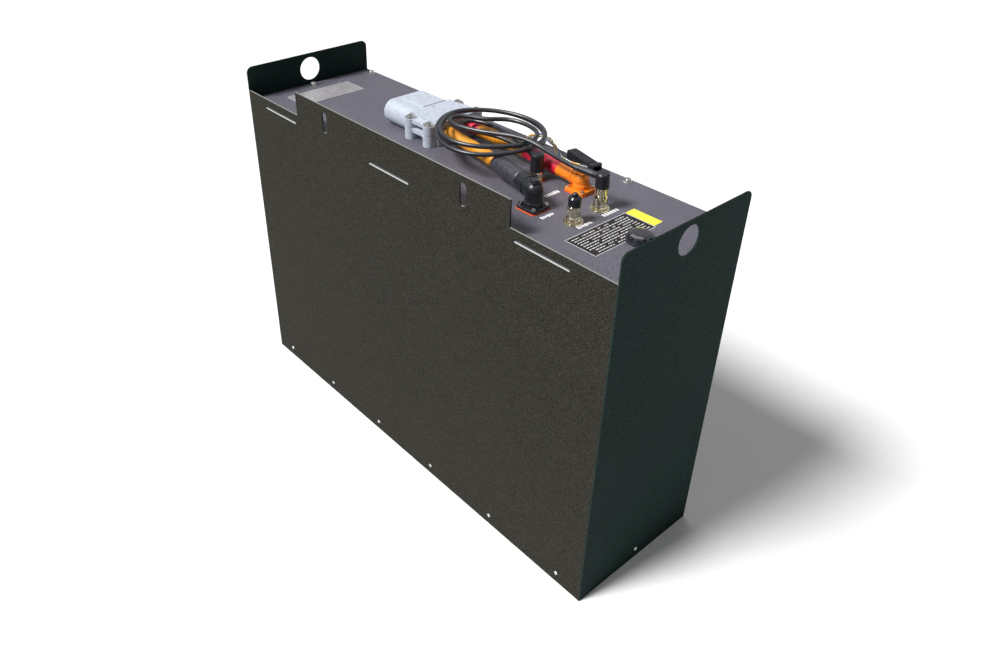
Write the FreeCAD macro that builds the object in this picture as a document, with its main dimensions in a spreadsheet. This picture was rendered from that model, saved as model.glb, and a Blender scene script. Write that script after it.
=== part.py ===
import FreeCAD, Part
import math
import os
import Sketcher
from FreeCAD import Placement, Rotation, Vector

# Traction battery of an electric lift truck: a narrow steel case with two lifting ears,
# a recessed lid that carries the power sockets, the power connector on its two leads,
# and the cell stacks with their electronics inside.
# Frame: X along the case, Y from its front to its back, Z up from the middle of its base.

doc = FreeCAD.newDocument("TractionBattery")
sheet = doc.addObject("Spreadsheet::Sheet", "Sizes")
parts = []


class Size:
    """A length together with the sheet formula that it comes from."""

    def __init__(self, text, number):
        self.text = text
        self.number = number

    def __add__(self, other):
        return Size(f"({self.text} + {formula(other)})", self.number + plain(other))

    def __radd__(self, other):
        return Size(f"({formula(other)} + {self.text})", plain(other) + self.number)

    def __sub__(self, other):
        return Size(f"({self.text} - {formula(other)})", self.number - plain(other))

    def __rsub__(self, other):
        return Size(f"({formula(other)} - {self.text})", plain(other) - self.number)

    def __mul__(self, other):
        return Size(f"({self.text} * {formula(other)})", self.number * plain(other))

    def __rmul__(self, other):
        return Size(f"({formula(other)} * {self.text})", plain(other) * self.number)

    def __truediv__(self, other):
        return Size(f"({self.text} / {formula(other)})", self.number / plain(other))

    def __neg__(self):
        return Size(f"(0 - {self.text})", -self.number)


def formula(value):
    return value.text if isinstance(value, Size) else repr(value)


def plain(value):
    return value.number if isinstance(value, Size) else value


def size(name, number):
    """Writes one driving dimension into the sheet and gives it back as a Size."""
    size.row += 1
    sheet.set(f"A{size.row}", name)
    sheet.set(f"B{size.row}", str(number))
    sheet.setAlias(f"B{size.row}", name)
    return Size(f"Sizes.{name}", number)


size.row = 0

# Case
case_length = size("case_length", 1168)
case_width = size("case_width", 353)
wall_top = size("wall_top", 771)
ear_rise = size("ear_rise", 56)
middle_rise = size("middle_rise", 55)
wall_gauge = size("wall_gauge", 3)
step_left = size("step_left", 221)
step_right = size("step_right", 249)
ear_round = size("ear_round", 15)
lift_hole = size("lift_hole", 58)
lift_rise = size("lift_rise", 17)
strap_slot_wide = size("strap_slot_wide", 18)
strap_slot_tall = size("strap_slot_tall", 48)
strap_left = size("strap_left", 336)
strap_right = size("strap_right", 374)
fit_gap = size("fit_gap", 0.3)
half_long = case_length / 2
half_wide = case_width / 2

# Lid and base pan
lid_drop = size("lid_drop", 21)
lid_gauge = size("lid_gauge", 3)
tab_long = size("tab_long", 131)
tab_left = size("tab_left", 145)
tab_middle = size("tab_middle", 20)
tab_right = size("tab_right", 170)
slot_tall = size("slot_tall", 7)
rail_leg = size("rail_leg", 26)
pan_lip = size("pan_lip", 42)
screw_level = size("screw_level", 25)
screw_inset = size("screw_inset", 67.5)
screw_shank = size("screw_shank", 5)
screw_head = size("screw_head", 9.6)
screw_long = size("screw_long", 12)
bolt_shank = size("bolt_shank", 8)
bolt_flats = size("bolt_flats", 13)
bolt_head = size("bolt_head", 6)
bolt_long = size("bolt_long", 20)
washer_wide = size("washer_wide", 20)
washer_gauge = size("washer_gauge", 1.6)
bolt_inset = size("bolt_inset", 14)
bolt_edge = size("bolt_edge", 42)
bolt_pitch = size("bolt_pitch", 433)
bolt_right = size("bolt_right", 260)
end_bolt_inset = size("end_bolt_inset", 19)
end_bolt_y = size("end_bolt_y", -6)
plate_long = size("plate_long", 182)
plate_wide = size("plate_wide", 76)
plate_gauge = size("plate_gauge", 0.8)
plate_round = size("plate_round", 6)
plate_inset = size("plate_inset", 90)
plate_y = size("plate_y", -13)
hole_margin = size("hole_margin", 0.5)
lid_top = wall_top - lid_drop
lid_under = lid_top - lid_gauge
hole_level = wall_top + lift_rise

# Cell stacks and electronics: the cells share the room that the case leaves them
CELLS = 16
BALLAST_PLATES = 4
LAYERS = (("lower", 1), ("upper", 2))
stack_gap = size("stack_gap", 25)
bay_long = size("bay_long", 242.2)
side_gap = size("side_gap", 11.5)
head_room = size("head_room", 29)
cell_space = size("cell_space", 0.4)
row_space = size("row_space", 8)
pole_wide = size("pole_wide", 26)
pole_tall = size("pole_tall", 4)
link_tall = size("link_tall", 3)
end_plate_gauge = size("end_plate_gauge", 12)
end_plate_rise = size("end_plate_rise", 26)
pad_gauge = size("pad_gauge", 6)
shelf_gauge = size("shelf_gauge", 5)
panel_gauge = size("panel_gauge", 4)
panel_space = size("panel_space", 14)
unit_deep = size("unit_deep", 62)
unit_wide = size("unit_wide", 230)
unit_tall = size("unit_tall", 170)
contactor_bore = size("contactor_bore", 74)
contactor_tall = size("contactor_tall", 82)
fuse_long = size("fuse_long", 92)
fuse_bore = size("fuse_bore", 34)
bar_wide = size("bar_wide", 24)
bar_gauge = size("bar_gauge", 4)
stack_start = wall_gauge + stack_gap - half_long
stack_long = case_length - 2 * wall_gauge - stack_gap - bay_long
stack_wide = case_width - 2 * wall_gauge - 2 * side_gap
cell_thick = (stack_long - 2 * end_plate_gauge - cell_space) / CELLS - cell_space
cell_wide = (stack_wide - row_space) / 2
layer_rise = (lid_under - wall_gauge - pad_gauge + shelf_gauge - head_room) / (len(LAYERS) + 1)
cell_tall = layer_rise - end_plate_rise - shelf_gauge

# Fittings on the lid keep their distance to the case's right end
fittings_reach = size("fittings_reach", 584)
fittings_x = half_long - fittings_reach

# Power connector that lies on the lid
nose_wide = size("nose_wide", 130)
nose_tall = size("nose_tall", 54)
nose_long = size("nose_long", 88)
nose_tip = fittings_x + size("nose_tip", -238)
nose_y = size("nose_y", 43)
clamp_long = size("clamp_long", 96)
clamp_wide = size("clamp_wide", 116)
boss_wide = size("boss_wide", 28)
boss_tall = size("boss_tall", 47)
boss_plate = size("boss_plate", 9)
boss_y = size("boss_y", 68)
boss_front_x = size("boss_front_x", 15)
boss_pitch = size("boss_pitch", 62)
contact_bore = size("contact_bore", 18)
contact_wall = size("contact_wall", 4)
contact_deep = size("contact_deep", 44)
contact_inset = size("contact_inset", 24)
contact_pitch = size("contact_pitch", 62)
mouth_deep = size("mouth_deep", 58)
mouth_wall = size("mouth_wall", 4.5)
key_wide = size("key_wide", 20)
key_tall = size("key_tall", 26)
key_deep = size("key_deep", 29)
key_slot_wide = size("key_slot_wide", 10)
key_slot_tall = size("key_slot_tall", 14)
grip_tall = size("grip_tall", 1.6)
grip_wide = size("grip_wide", 62)
grip_margin = size("grip_margin", 6)
clamp_bolt_flats = size("clamp_bolt_flats", 11)
clamp_bolt_shank = size("clamp_bolt_shank", 6)
clamp_washer = size("clamp_washer", 26)

# Power leads, plugs and flanged sockets
conduit_bore = size("conduit_bore", 28)
shrink_bore = size("shrink_bore", 36)
sleeve_bore = size("sleeve_bore", 29.5)
flange_side = size("flange_side", 46)
flange_tall = size("flange_tall", 6)
flange_round = size("flange_round", 4)
gasket_gauge = size("gasket_gauge", 2)
flange_bolts = size("flange_bolts", 35)
flange_screw = size("flange_screw", 4)
flange_head = size("flange_head", 8.4)
flange_cut = size("flange_cut", 30)
negative_x = fittings_x + size("negative_x", 282)
negative_y = size("negative_y", -63)
negative_turn = size("negative_turn", -15)
negative_axis = size("negative_axis", 39)
negative_side = size("negative_side", 34)
negative_inlet = size("negative_inlet", 29)
positive_x = fittings_x + size("positive_x", 290)
positive_y = size("positive_y", 61)
positive_axis = size("positive_axis", 24)
positive_side = size("positive_side", 30)
positive_inlet = size("positive_inlet", 46)
positive_turn = size("positive_turn", -4)
plug_lift = size("plug_lift", 4)
button_wide = size("button_wide", 12)
button_long = size("button_long", 15)
button_rise = size("button_rise", 3)
button_travel = size("button_travel", 2.5)
button_gap = size("button_gap", 0.35)
button_deep = size("button_deep", 8)

# Round signal sockets with their plugs and cap
socket_bore = size("socket_bore", 22)
socket_rim = size("socket_rim", 38)
socket_rim_tall = size("socket_rim_tall", 3)
socket_below = size("socket_below", 18)
nut_flats = size("nut_flats", 27)
nut_tall = size("nut_tall", 5)
ring_bore = size("ring_bore", 27)
ring_play = size("ring_play", 0.06)
plug_bore = size("plug_bore", 27)
short_socket = size("short_socket", 21)
short_plug = size("short_plug", 37)
tall_socket = size("tall_socket", 30)
tall_neck = size("tall_neck", 15)
tall_plug = size("tall_plug", 29)
a_x = fittings_x + size("a_x", 199)
a_y = size("a_y", 30)
b_x = fittings_x + size("b_x", 367)
b_y = size("b_y", -45)
c_x = fittings_x + size("c_x", 364)
c_y = size("c_y", 32)
cap_ring_tall = size("cap_ring_tall", 30)
cap_tall = size("cap_tall", 19)
knob_wide = size("knob_wide", 10)
knob_tall = size("knob_tall", 6.5)
cap_bore = size("cap_bore", 24)
cap_socket = size("cap_socket", 26)
skirt_wide = size("skirt_wide", 39)
cord_bore = size("cord_bore", 9.5)
a_outlet = size("a_outlet", 50)
a_turn = size("a_turn", -10)
c_outlet = size("c_outlet", 64)
c_turn = size("c_turn", 4)
outlet_bore = size("outlet_bore", 13)
outlet_long = size("outlet_long", 8)
relief_long = size("relief_long", 44)

# Coil of the signal cord
coil_x = fittings_x + size("coil_x", 47)
coil_y = size("coil_y", 38)
coil_long = size("coil_long", 250)
coil_wide = size("coil_wide", 242)
coil_flare = size("coil_flare", 10)
coil_eye_long = size("coil_eye_long", 160)
coil_eye_wide = size("coil_eye_wide", 150)
coil_tall = size("coil_tall", 24)

# Pressure vent and signal harness
vent_x = fittings_x + size("vent_x", 491)
vent_y = size("vent_y", -6)
vent_wide = size("vent_wide", 54)
vent_base_tall = size("vent_base_tall", 5)
vent_cap_tall = size("vent_cap_tall", 12)
vent_stem = size("vent_stem", 24)
grommet_x = fittings_x + size("grommet_x", 62)
grommet_back = size("grommet_back", 48.5)
grommet_wide = size("grommet_wide", 26)
harness_bore = size("harness_bore", 10)
housing_long = size("housing_long", 94)
housing_wide = size("housing_wide", 22)
housing_tall = size("housing_tall", 19)
housing_x = fittings_x + size("housing_x", 214)
housing_back = size("housing_back", 22.5)
housing_turn = size("housing_turn", -14)
entry_x = size("entry_x", 28)
entry_y = size("entry_y", -8)
entry_long = size("entry_long", 18)
entry_turn = size("entry_turn", 210)
entry_bore = size("entry_bore", 13)
housing_wall = size("housing_wall", 2.4)
housing_mouth = size("housing_mouth", 30)
grommet_y = half_wide - grommet_back
housing_y = half_wide - housing_back
plate_x = plate_inset - half_long


def bind(item, prop, value):
    """Sets a property, and ties it to the sheet where the value comes from there."""
    if hasattr(item, prop):
        setattr(item, prop, plain(value))
    if isinstance(value, Size):
        item.setExpression(prop, value.text)


def place(item, x=0, y=0, z=0, turn=0, about=Vector(0, 0, 1)):
    """Moves an item by sizes from the sheet, after a turn about one axis."""
    spin = Rotation(about, plain(turn))
    item.Placement = Placement(Vector(plain(x), plain(y), plain(z)), spin)
    for axis, value in (("x", x), ("y", y), ("z", z)):
        if isinstance(value, Size):
            item.setExpression(f".Placement.Base.{axis}", value.text)
    if isinstance(turn, Size):
        item.setExpression(".Placement.Rotation.Angle", turn.text)
    return item


def block(name, x, y, z, length, width, height):
    """A box given by the middle of its base."""
    item = doc.addObject("Part::Box", name)
    bind(item, "Length", length)
    bind(item, "Width", width)
    bind(item, "Height", height)
    return place(item, x - length / 2, y - width / 2, z)


AXES = {"Z": (Vector(0, 0, 1), 0), "X": (Vector(0, 1, 0), 90), "Y": (Vector(1, 0, 0), -90)}


def rod(name, x, y, z, width, height, axis="Z"):
    """A round bar of a given diameter that starts at a point and runs along an axis."""
    item = doc.addObject("Part::Cylinder", name)
    bind(item, "Radius", width / 2)
    bind(item, "Height", height)
    about, angle = AXES[axis]
    return place(item, x, y, z, angle, about)


def hexagon(name, x, y, z, flats, height, axis="Z"):
    """A six-sided bar given by its width across flats."""
    item = doc.addObject("Part::Prism", name)
    item.Polygon = 6
    bind(item, "Circumradius", flats / 2 / math.cos(math.pi / 6))
    bind(item, "Height", height)
    about, angle = AXES[axis]
    return place(item, x, y, z, angle, about)


def cone(name, x, y, z, width, top_width, height, axis="Z"):
    item = doc.addObject("Part::Cone", name)
    bind(item, "Radius1", width / 2)
    bind(item, "Radius2", top_width / 2)
    bind(item, "Height", height)
    about, angle = AXES[axis]
    return place(item, x, y, z, angle, about)


def join(name, *items):
    item = doc.addObject("Part::MultiFuse", name)
    item.Shapes = list(items)
    item.Refine = True
    return item


def carve(name, base, *tools):
    """Takes one or more tools away from a base."""
    item = doc.addObject("Part::Cut", name)
    item.Base = base
    item.Tool = tools[0] if len(tools) == 1 else join(f"{name}_tools", *tools)
    item.Refine = True
    return item


def gather(name, items):
    """Separate like pieces that share one file."""
    item = doc.addObject("Part::Compound", name)
    item.Links = list(items)
    return item


def part(label, item):
    """Marks an item as a finished piece and names it."""
    item.Label = label
    parts.append(item)
    return item


def plane_of(body, role):
    return [feature for feature in body.Origin.OriginFeatures if feature.Role == role][0]


def outline(body, name, role, corners):
    """A closed straight-sided sketch whose corners are all tied to the sheet."""
    sketch = body.newObject("Sketcher::SketchObject", name)
    sketch.AttachmentSupport = [(plane_of(body, role), "")]
    sketch.MapMode = "FlatFace"
    points = [Vector(plain(across), plain(up), 0) for across, up in corners]
    for start, end in zip(points, points[1:] + points[:1]):
        sketch.addGeometry(Part.LineSegment(start, end), False)
    count = len(points)
    for index in range(count):
        sketch.addConstraint(Sketcher.Constraint("Coincident", index, 2, (index + 1) % count, 1))
    for index, (across, up) in enumerate(corners):
        for kind, value in (("DistanceX", across), ("DistanceY", up)):
            label = f"{kind}{index}"
            number = sketch.addConstraint(Sketcher.Constraint(kind, -1, 1, index, 1, plain(value)))
            sketch.renameConstraint(number, label)
            if isinstance(value, Size):
                sketch.setExpression(f"Constraints.{label}", value.text)
    return sketch


def padded(name, role, corners, depth, backwards=False, rounding=None, choose=None):
    """A body: an outline, padded, with the chosen edges rounded."""
    body = doc.addObject("PartDesign::Body", name)
    sketch = outline(body, f"{name}_outline", role, corners)
    pad = body.newObject("PartDesign::Pad", f"{name}_pad")
    pad.Profile = sketch
    bind(pad, "Length", depth)
    pad.Reversed = backwards
    sketch.Visibility = False
    doc.recompute()
    if rounding is not None:
        edges = []
        for number, edge in enumerate(pad.Shape.Edges, 1):
            if choose(edge):
                edges.append(f"Edge{number}")
        fillet = body.newObject("PartDesign::Fillet", f"{name}_rounding")
        fillet.Base = (pad, edges)
        bind(fillet, "Radius", rounding)
    return body


def upright(edge):
    start, end = edge.Vertexes[0].Point, edge.Vertexes[-1].Point
    return abs(start.x - end.x) < 0.01 and abs(start.y - end.y) < 0.01


def slab(name, x, y, z, length, width, height, rounding):
    """A flat plate with rounded corners, given by the middle of its base."""
    half, side = length / 2, width / 2
    corners = [(-half, -side), (half, -side), (half, side), (-half, side)]
    return place(padded(name, "XY_Plane", corners, height, False, rounding, upright), x, y, z)


def turned(name, profile, x, y, z, turn=0, about=Vector(0, 0, 1)):
    """A body turned about its own upright axis from radius and height pairs."""
    body = doc.addObject("PartDesign::Body", name)
    sketch = outline(body, f"{name}_profile", "XZ_Plane", profile)
    spin = body.newObject("PartDesign::Revolution", f"{name}_turned")
    spin.Profile = sketch
    spin.ReferenceAxis = (sketch, ["V_Axis"])
    spin.Angle = 360
    sketch.Visibility = False
    return place(body, x, y, z, turn, about)


def route(points):
    """Straight runs joined by tangent arcs, each as large as its two runs allow."""
    edges = []
    radii = []
    start = points[0]
    for before, corner, after in zip(points, points[1:], points[2:]):
        back = (before - corner).normalize()
        ahead = (after - corner).normalize()
        turn = math.pi - back.getAngle(ahead)
        reach = 0.45 * min((before - corner).Length, (after - corner).Length)
        radius = reach / math.tan(turn / 2)
        enter = corner + back * reach
        leave = corner + ahead * reach
        middle = (back + ahead).normalize()
        centre = corner + middle * math.hypot(radius, reach)
        edges.append(Part.LineSegment(start, enter).toShape())
        edges.append(Part.Arc(enter, centre - middle * radius, leave).toShape())
        radii.append(round(radius))
        start = leave
    edges.append(Part.LineSegment(start, points[-1]).toShape())
    return Part.Wire(edges), radii


def tube(label, points, width):
    """A round cord along a route that is chosen by hand."""
    path, radii = route(points)
    ahead = points[1] - points[0]
    ring = Part.Wire(Part.Circle(points[0], ahead, width / 2).toShape())
    solid = path.makePipeShell([ring], True, False)
    section = math.pi * width * width / 4
    print(f"{label}: radii {radii}, length {path.Length:.0f}, volume ratio "
          f"{solid.Volume / (section * path.Length):.4f}")
    item = doc.addObject("Part::Feature", label)
    item.Shape = solid
    return part(label, item)


def above_lid(points, depth=0):
    """Points given from the fittings' origin on the lid; a Vector is already in the case's frame."""
    origin = Vector(plain(fittings_x), plain(depth), plain(lid_top))
    return [point if isinstance(point, Vector) else origin + Vector(*point) for point in points]


# Front wall: one sheet with a raised middle, three slots for the lid's tabs, two strap slots
def tab_places():
    return [("tab_left", tab_left - half_long), ("tab_middle", -tab_middle),
            ("tab_right", half_long - tab_right)]


def screw_places():
    pitch = (case_length - 2 * screw_inset) / 5
    return [(index, screw_inset - half_long + index * pitch) for index in range(6)]


def make_front_wall():
    left = wall_gauge - half_long
    right = half_long - wall_gauge
    corners = [(left, 0), (right, 0), (right, wall_top), (half_long - step_right, wall_top),
               (half_long - step_right, wall_top + middle_rise),
               (step_left - half_long, wall_top + middle_rise),
               (step_left - half_long, wall_top), (left, wall_top)]
    sheet_body = place(padded("front_sheet", "XZ_Plane", corners, wall_gauge, True), 0, -half_wide, 0)
    front = -half_wide - wall_gauge
    tools = []
    for name, x in tab_places():
        tools.append(block(f"{name}_slot", x, front + 2 * wall_gauge, lid_under, tab_long + 2 * fit_gap,
                           4 * wall_gauge, slot_tall))
    for name, x in (("left", strap_left - half_long), ("right", half_long - strap_right)):
        reach = (strap_slot_tall - strap_slot_wide) / 2
        tools.append(block(f"strap_{name}", x, front + 2 * wall_gauge, hole_level - reach,
                           strap_slot_wide, 4 * wall_gauge, 2 * reach))
        for end, level in (("low", hole_level - reach), ("high", hole_level + reach)):
            tools.append(rod(f"strap_{name}_{end}", x, front, level, strap_slot_wide,
                             4 * wall_gauge, "Y"))
    for index, x in screw_places():
        tools.append(rod(f"front_screw_hole_{index}", x, front, screw_level,
                         screw_shank + hole_margin, 4 * wall_gauge, "Y"))
    part("front_wall", carve("front_wall", sheet_body, *tools))


# Back wall: one sheet folded inwards at the top, where the lid is bolted down
def rear_bolt_places():
    return list(enumerate((bolt_edge - half_long, bolt_edge + bolt_pitch - half_long,
                           half_long - bolt_right, half_long - bolt_edge)))


def make_back_wall():
    low, high = half_wide - rail_leg, half_wide
    corners = [(high, 0), (high, lid_under), (low, lid_under), (low, lid_under - wall_gauge),
               (high - wall_gauge, lid_under - wall_gauge), (high - wall_gauge, 0)]
    fold = padded("back_sheet", "YZ_Plane", corners, case_length - 2 * wall_gauge)
    place(fold, wall_gauge - half_long, 0, 0)
    tools = []
    for index, x in screw_places():
        tools.append(rod(f"back_screw_hole_{index}", x, half_wide - 2 * wall_gauge, screw_level,
                         screw_shank + hole_margin, 4 * wall_gauge, "Y"))
    for index, x in rear_bolt_places():
        tools.append(rod(f"back_bolt_hole_{index}", x, half_wide - bolt_inset,
                         lid_under - 2 * wall_gauge, bolt_shank + hole_margin, 4 * wall_gauge))
    part("back_wall", carve("back_wall", fold, *tools))


# End walls: plates that rise above the lid as ears with a lifting hole
def high_corner(edge):
    start, end = edge.Vertexes[0].Point, edge.Vertexes[-1].Point
    return abs(start.y - end.y) < 0.01 and min(start.z, end.z) > plain(wall_top) \
        and abs(abs(start.y) - plain(half_wide)) < 0.01 and abs(start.z - end.z) < 0.01


def make_end_walls():
    top = wall_top + ear_rise
    corners = [(-half_wide, 0), (half_wide, 0), (half_wide, top), (-half_wide, top)]
    for name, x in (("left", -half_long), ("right", half_long - wall_gauge)):
        ear = padded(f"{name}_plate", "YZ_Plane", corners, wall_gauge, False, ear_round, high_corner)
        place(ear, x, 0, 0)
        lift = rod(f"{name}_lift_hole", x - wall_gauge, 0, hole_level, lift_hole, 3 * wall_gauge, "X")
        screw = rod(f"{name}_screw_hole", x - wall_gauge, 0, screw_level,
                    screw_shank + hole_margin, 3 * wall_gauge, "X")
        part(f"{name}_end_wall", carve(f"{name}_end_wall", ear, lift, screw))


# Angles on the end walls that carry the lid's short sides
def make_lid_rails():
    depth = case_width - 2 * wall_gauge - 2 * rail_leg
    rails = []
    for name, side in (("left", -1), ("right", 1)):
        flat = block(f"{name}_rail_flat", side * (half_long - wall_gauge - rail_leg / 2), 0,
                     lid_under - wall_gauge, rail_leg, depth, wall_gauge)
        leg = block(f"{name}_rail_leg", side * (half_long - wall_gauge - wall_gauge / 2), 0,
                    lid_under - rail_leg, wall_gauge, depth, rail_leg)
        hole = rod(f"{name}_rail_hole", side * (half_long - wall_gauge - end_bolt_inset), end_bolt_y,
                   lid_under - 2 * wall_gauge, bolt_shank + hole_margin, 4 * wall_gauge)
        rails.append(carve(f"{name}_rail", join(f"{name}_rail_angle", flat, leg), hole))
    part("lid_rails", gather("lid_rails", rails))


# Base pan: a sheet folded up on four sides, screwed to the walls from outside
def make_bottom_pan():
    length = case_length - 2 * wall_gauge - 2 * fit_gap
    width = case_width - 2 * wall_gauge - 2 * fit_gap
    outer = block("pan_outer", 0, 0, 0, length, width, pan_lip)
    inner = block("pan_inner", 0, 0, wall_gauge, length - 2 * wall_gauge, width - 2 * wall_gauge,
                  pan_lip)
    tools = [inner]
    for index, x in screw_places():
        tools.append(rod(f"pan_hole_{index}", x, -half_wide, screw_level,
                         screw_shank + 2 * ring_play, case_width, "Y"))
    tools.append(rod("pan_end_hole", -half_long, 0, screw_level, screw_shank + 2 * ring_play,
                     case_length, "X"))
    part("bottom_pan", carve("bottom_pan", outer, *tools))


# Round-headed screws of the base pan
def pan_screw(name, x, y, axis_turn, about):
    radius = screw_shank / 2
    crown = screw_head / 2
    profile = [(0, 0.0), (radius, 0.0), (radius, screw_long), (crown, screw_long),
               (crown * 0.92, screw_long + 1.2), (crown * 0.66, screw_long + 2.3),
               (crown * 0.4, screw_long + 2.6), (crown * 0.4, screw_long + 1.0),
               (0, screw_long + 1.0)]
    return turned(name, profile, x, y, screw_level, axis_turn, about)


def make_bottom_screws():
    screws = []
    sunk = screw_long
    for index, x in screw_places():
        screws.append(pan_screw(f"front_screw_{index}", x, sunk - half_wide, 90, Vector(1, 0, 0)))
        screws.append(pan_screw(f"back_screw_{index}", x, half_wide - sunk, -90, Vector(1, 0, 0)))
    screws.append(pan_screw("left_screw", sunk - half_long, 0, -90, Vector(0, 1, 0)))
    screws.append(pan_screw("right_screw", half_long - sunk, 0, 90, Vector(0, 1, 0)))
    part("bottom_screws", gather("bottom_screws", screws))


# Lid: a sheet with three tabs at the front and the cut-outs for everything mounted on it
def lid_bolt_places():
    places = [(f"rear_{index}", x, half_wide - bolt_inset) for index, x in rear_bolt_places()]
    places.append(("left", wall_gauge + end_bolt_inset - half_long, end_bolt_y))
    places.append(("right", half_long - wall_gauge - end_bolt_inset, end_bolt_y))
    return places


def make_lid():
    half = half_long - wall_gauge - fit_gap
    front = wall_gauge + fit_gap - half_wide
    corners = [(-half, half_wide), (-half, front)]
    for name, x in tab_places():
        corners.append((x - tab_long / 2, front))
        corners.append((x - tab_long / 2, -half_wide))
        corners.append((x + tab_long / 2, -half_wide))
        corners.append((x + tab_long / 2, front))
    corners += [(half, front), (half, half_wide)]
    sheet_body = place(padded("lid_sheet", "XY_Plane", corners, lid_gauge), 0, 0, lid_under)
    low = lid_under - lid_gauge
    tools = []
    for name, x, y in lid_bolt_places():
        tools.append(rod(f"lid_bolt_hole_{name}", x, y, low, bolt_shank + hole_margin, 3 * lid_gauge))
    for name, x, y in (("a", a_x, a_y), ("b", b_x, b_y), ("c", c_x, c_y)):
        tools.append(rod(f"lid_socket_hole_{name}", x, y, low, socket_bore + hole_margin,
                         3 * lid_gauge))
    for name, x, y in (("negative", negative_x, negative_y), ("positive", positive_x, positive_y)):
        tools.append(rod(f"lid_{name}_hole", x, y, low, flange_cut + hole_margin, 3 * lid_gauge))
        for corner, dx, dy in flange_corners():
            tools.append(rod(f"lid_{name}_screw_{corner}", x + dx, y + dy, low,
                             flange_screw + hole_margin, 3 * lid_gauge))
    tools.append(rod("lid_vent_hole", vent_x, vent_y, low, vent_stem + hole_margin, 3 * lid_gauge))
    tools.append(rod("lid_grommet_hole", grommet_x, grommet_y, low, grommet_wide - 4, 3 * lid_gauge))
    part("lid", carve("lid", sheet_body, *tools))


def make_lid_bolts():
    bolts = []
    washers = []
    for name, x, y in lid_bolt_places():
        seat = lid_top + washer_gauge
        head = hexagon(f"bolt_head_{name}", x, y, seat, bolt_flats, bolt_head)
        capped = doc.addObject("Part::MultiCommon", f"bolt_cap_{name}")
        capped.Shapes = [head, cone(f"bolt_bevel_{name}", x, y, seat, bolt_flats * 1.5,
                                    bolt_flats * 0.94, bolt_head)]
        shank = rod(f"bolt_shank_{name}", x, y, seat - bolt_long, bolt_shank, bolt_long)
        bolts.append(join(f"bolt_{name}", capped, shank))
        disc = rod(f"washer_disc_{name}", x, y, lid_top, washer_wide, washer_gauge)
        eye = rod(f"washer_eye_{name}", x, y, lid_top - washer_gauge, bolt_shank + hole_margin,
                  3 * washer_gauge)
        washers.append(carve(f"washer_{name}", disc, eye))
    part("lid_bolts", gather("lid_bolts", bolts))
    part("lid_washers", gather("lid_washers", washers))


def make_name_plate():
    part("name_plate", slab("name_plate_slab", plate_x, plate_y, lid_top, plate_wide, plate_long,
                            plate_gauge, plate_round))


# Cell stacks: steel ballast at the bottom, then two layers of two rows between end plates
def layer_floor(level):
    return wall_gauge + pad_gauge + level * layer_rise


def cell_x(index):
    pitch = cell_thick + cell_space
    return stack_start + end_plate_gauge + cell_space + cell_thick / 2 + index * pitch


def make_cells():
    pole_y = cell_wide / 4
    row_y = cell_wide / 2 + row_space / 2
    links = []
    for name, level in LAYERS:
        floor = layer_floor(level)
        cells = []
        for row, side in (("front", -1), ("back", 1)):
            for index in range(CELLS):
                x = cell_x(index)
                tag = f"{name}_{row}_{index}"
                can = block(f"can_{tag}", x, side * row_y, floor, cell_thick, cell_wide, cell_tall)
                poles = [block(f"pole_{tag}_{end}", x, side * row_y + end * pole_y, floor + cell_tall,
                               pole_wide, pole_wide, pole_tall) for end in (-1, 1)]
                cells.append(join(f"cell_{tag}", can, *poles))
            for index in range(CELLS - 1):
                end = -1 if index % 2 else 1
                middle = (cell_x(index) + cell_x(index + 1)) / 2
                links.append(block(f"link_{name}_{row}_{index}", middle, side * row_y + end * pole_y,
                                   floor + cell_tall + pole_tall,
                                   cell_thick + cell_space + pole_wide - 2, pole_wide - 4, link_tall))
        part(f"cells_{name}", gather(f"cells_{name}", cells))
    part("cell_links", gather("cell_links", links))


def make_stack_frame():
    middle = stack_start + stack_long / 2
    plates = []
    shelves = []
    for name, level in LAYERS:
        floor = layer_floor(level)
        for end, x in (("left", stack_start + end_plate_gauge / 2),
                       ("right", stack_start + stack_long - end_plate_gauge / 2)):
            plates.append(block(f"end_plate_{name}_{end}", x, 0, floor, end_plate_gauge, stack_wide,
                                cell_tall + end_plate_rise))
        shelves.append(block(f"shelf_{name}", middle, 0, floor - shelf_gauge, stack_long, stack_wide,
                             shelf_gauge))
    part("stack_end_plates", gather("stack_end_plates", plates))
    part("stack_shelves", gather("stack_shelves", shelves))
    thick = (layer_floor(1) - shelf_gauge - layer_floor(0)) / BALLAST_PLATES
    ballast = [block(f"ballast_{index}", middle, 0, layer_floor(0) + index * thick, stack_long,
                     stack_wide, thick) for index in range(BALLAST_PLATES)]
    part("ballast_plates", gather("ballast_plates", ballast))
    part("base_pad", block("base_pad", middle, 0, wall_gauge, stack_long, stack_wide, pad_gauge))


# Electronics bay beside the stacks: panel, battery management unit, contactor and fuse
def bay_x():
    return stack_start + stack_long + panel_space


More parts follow.
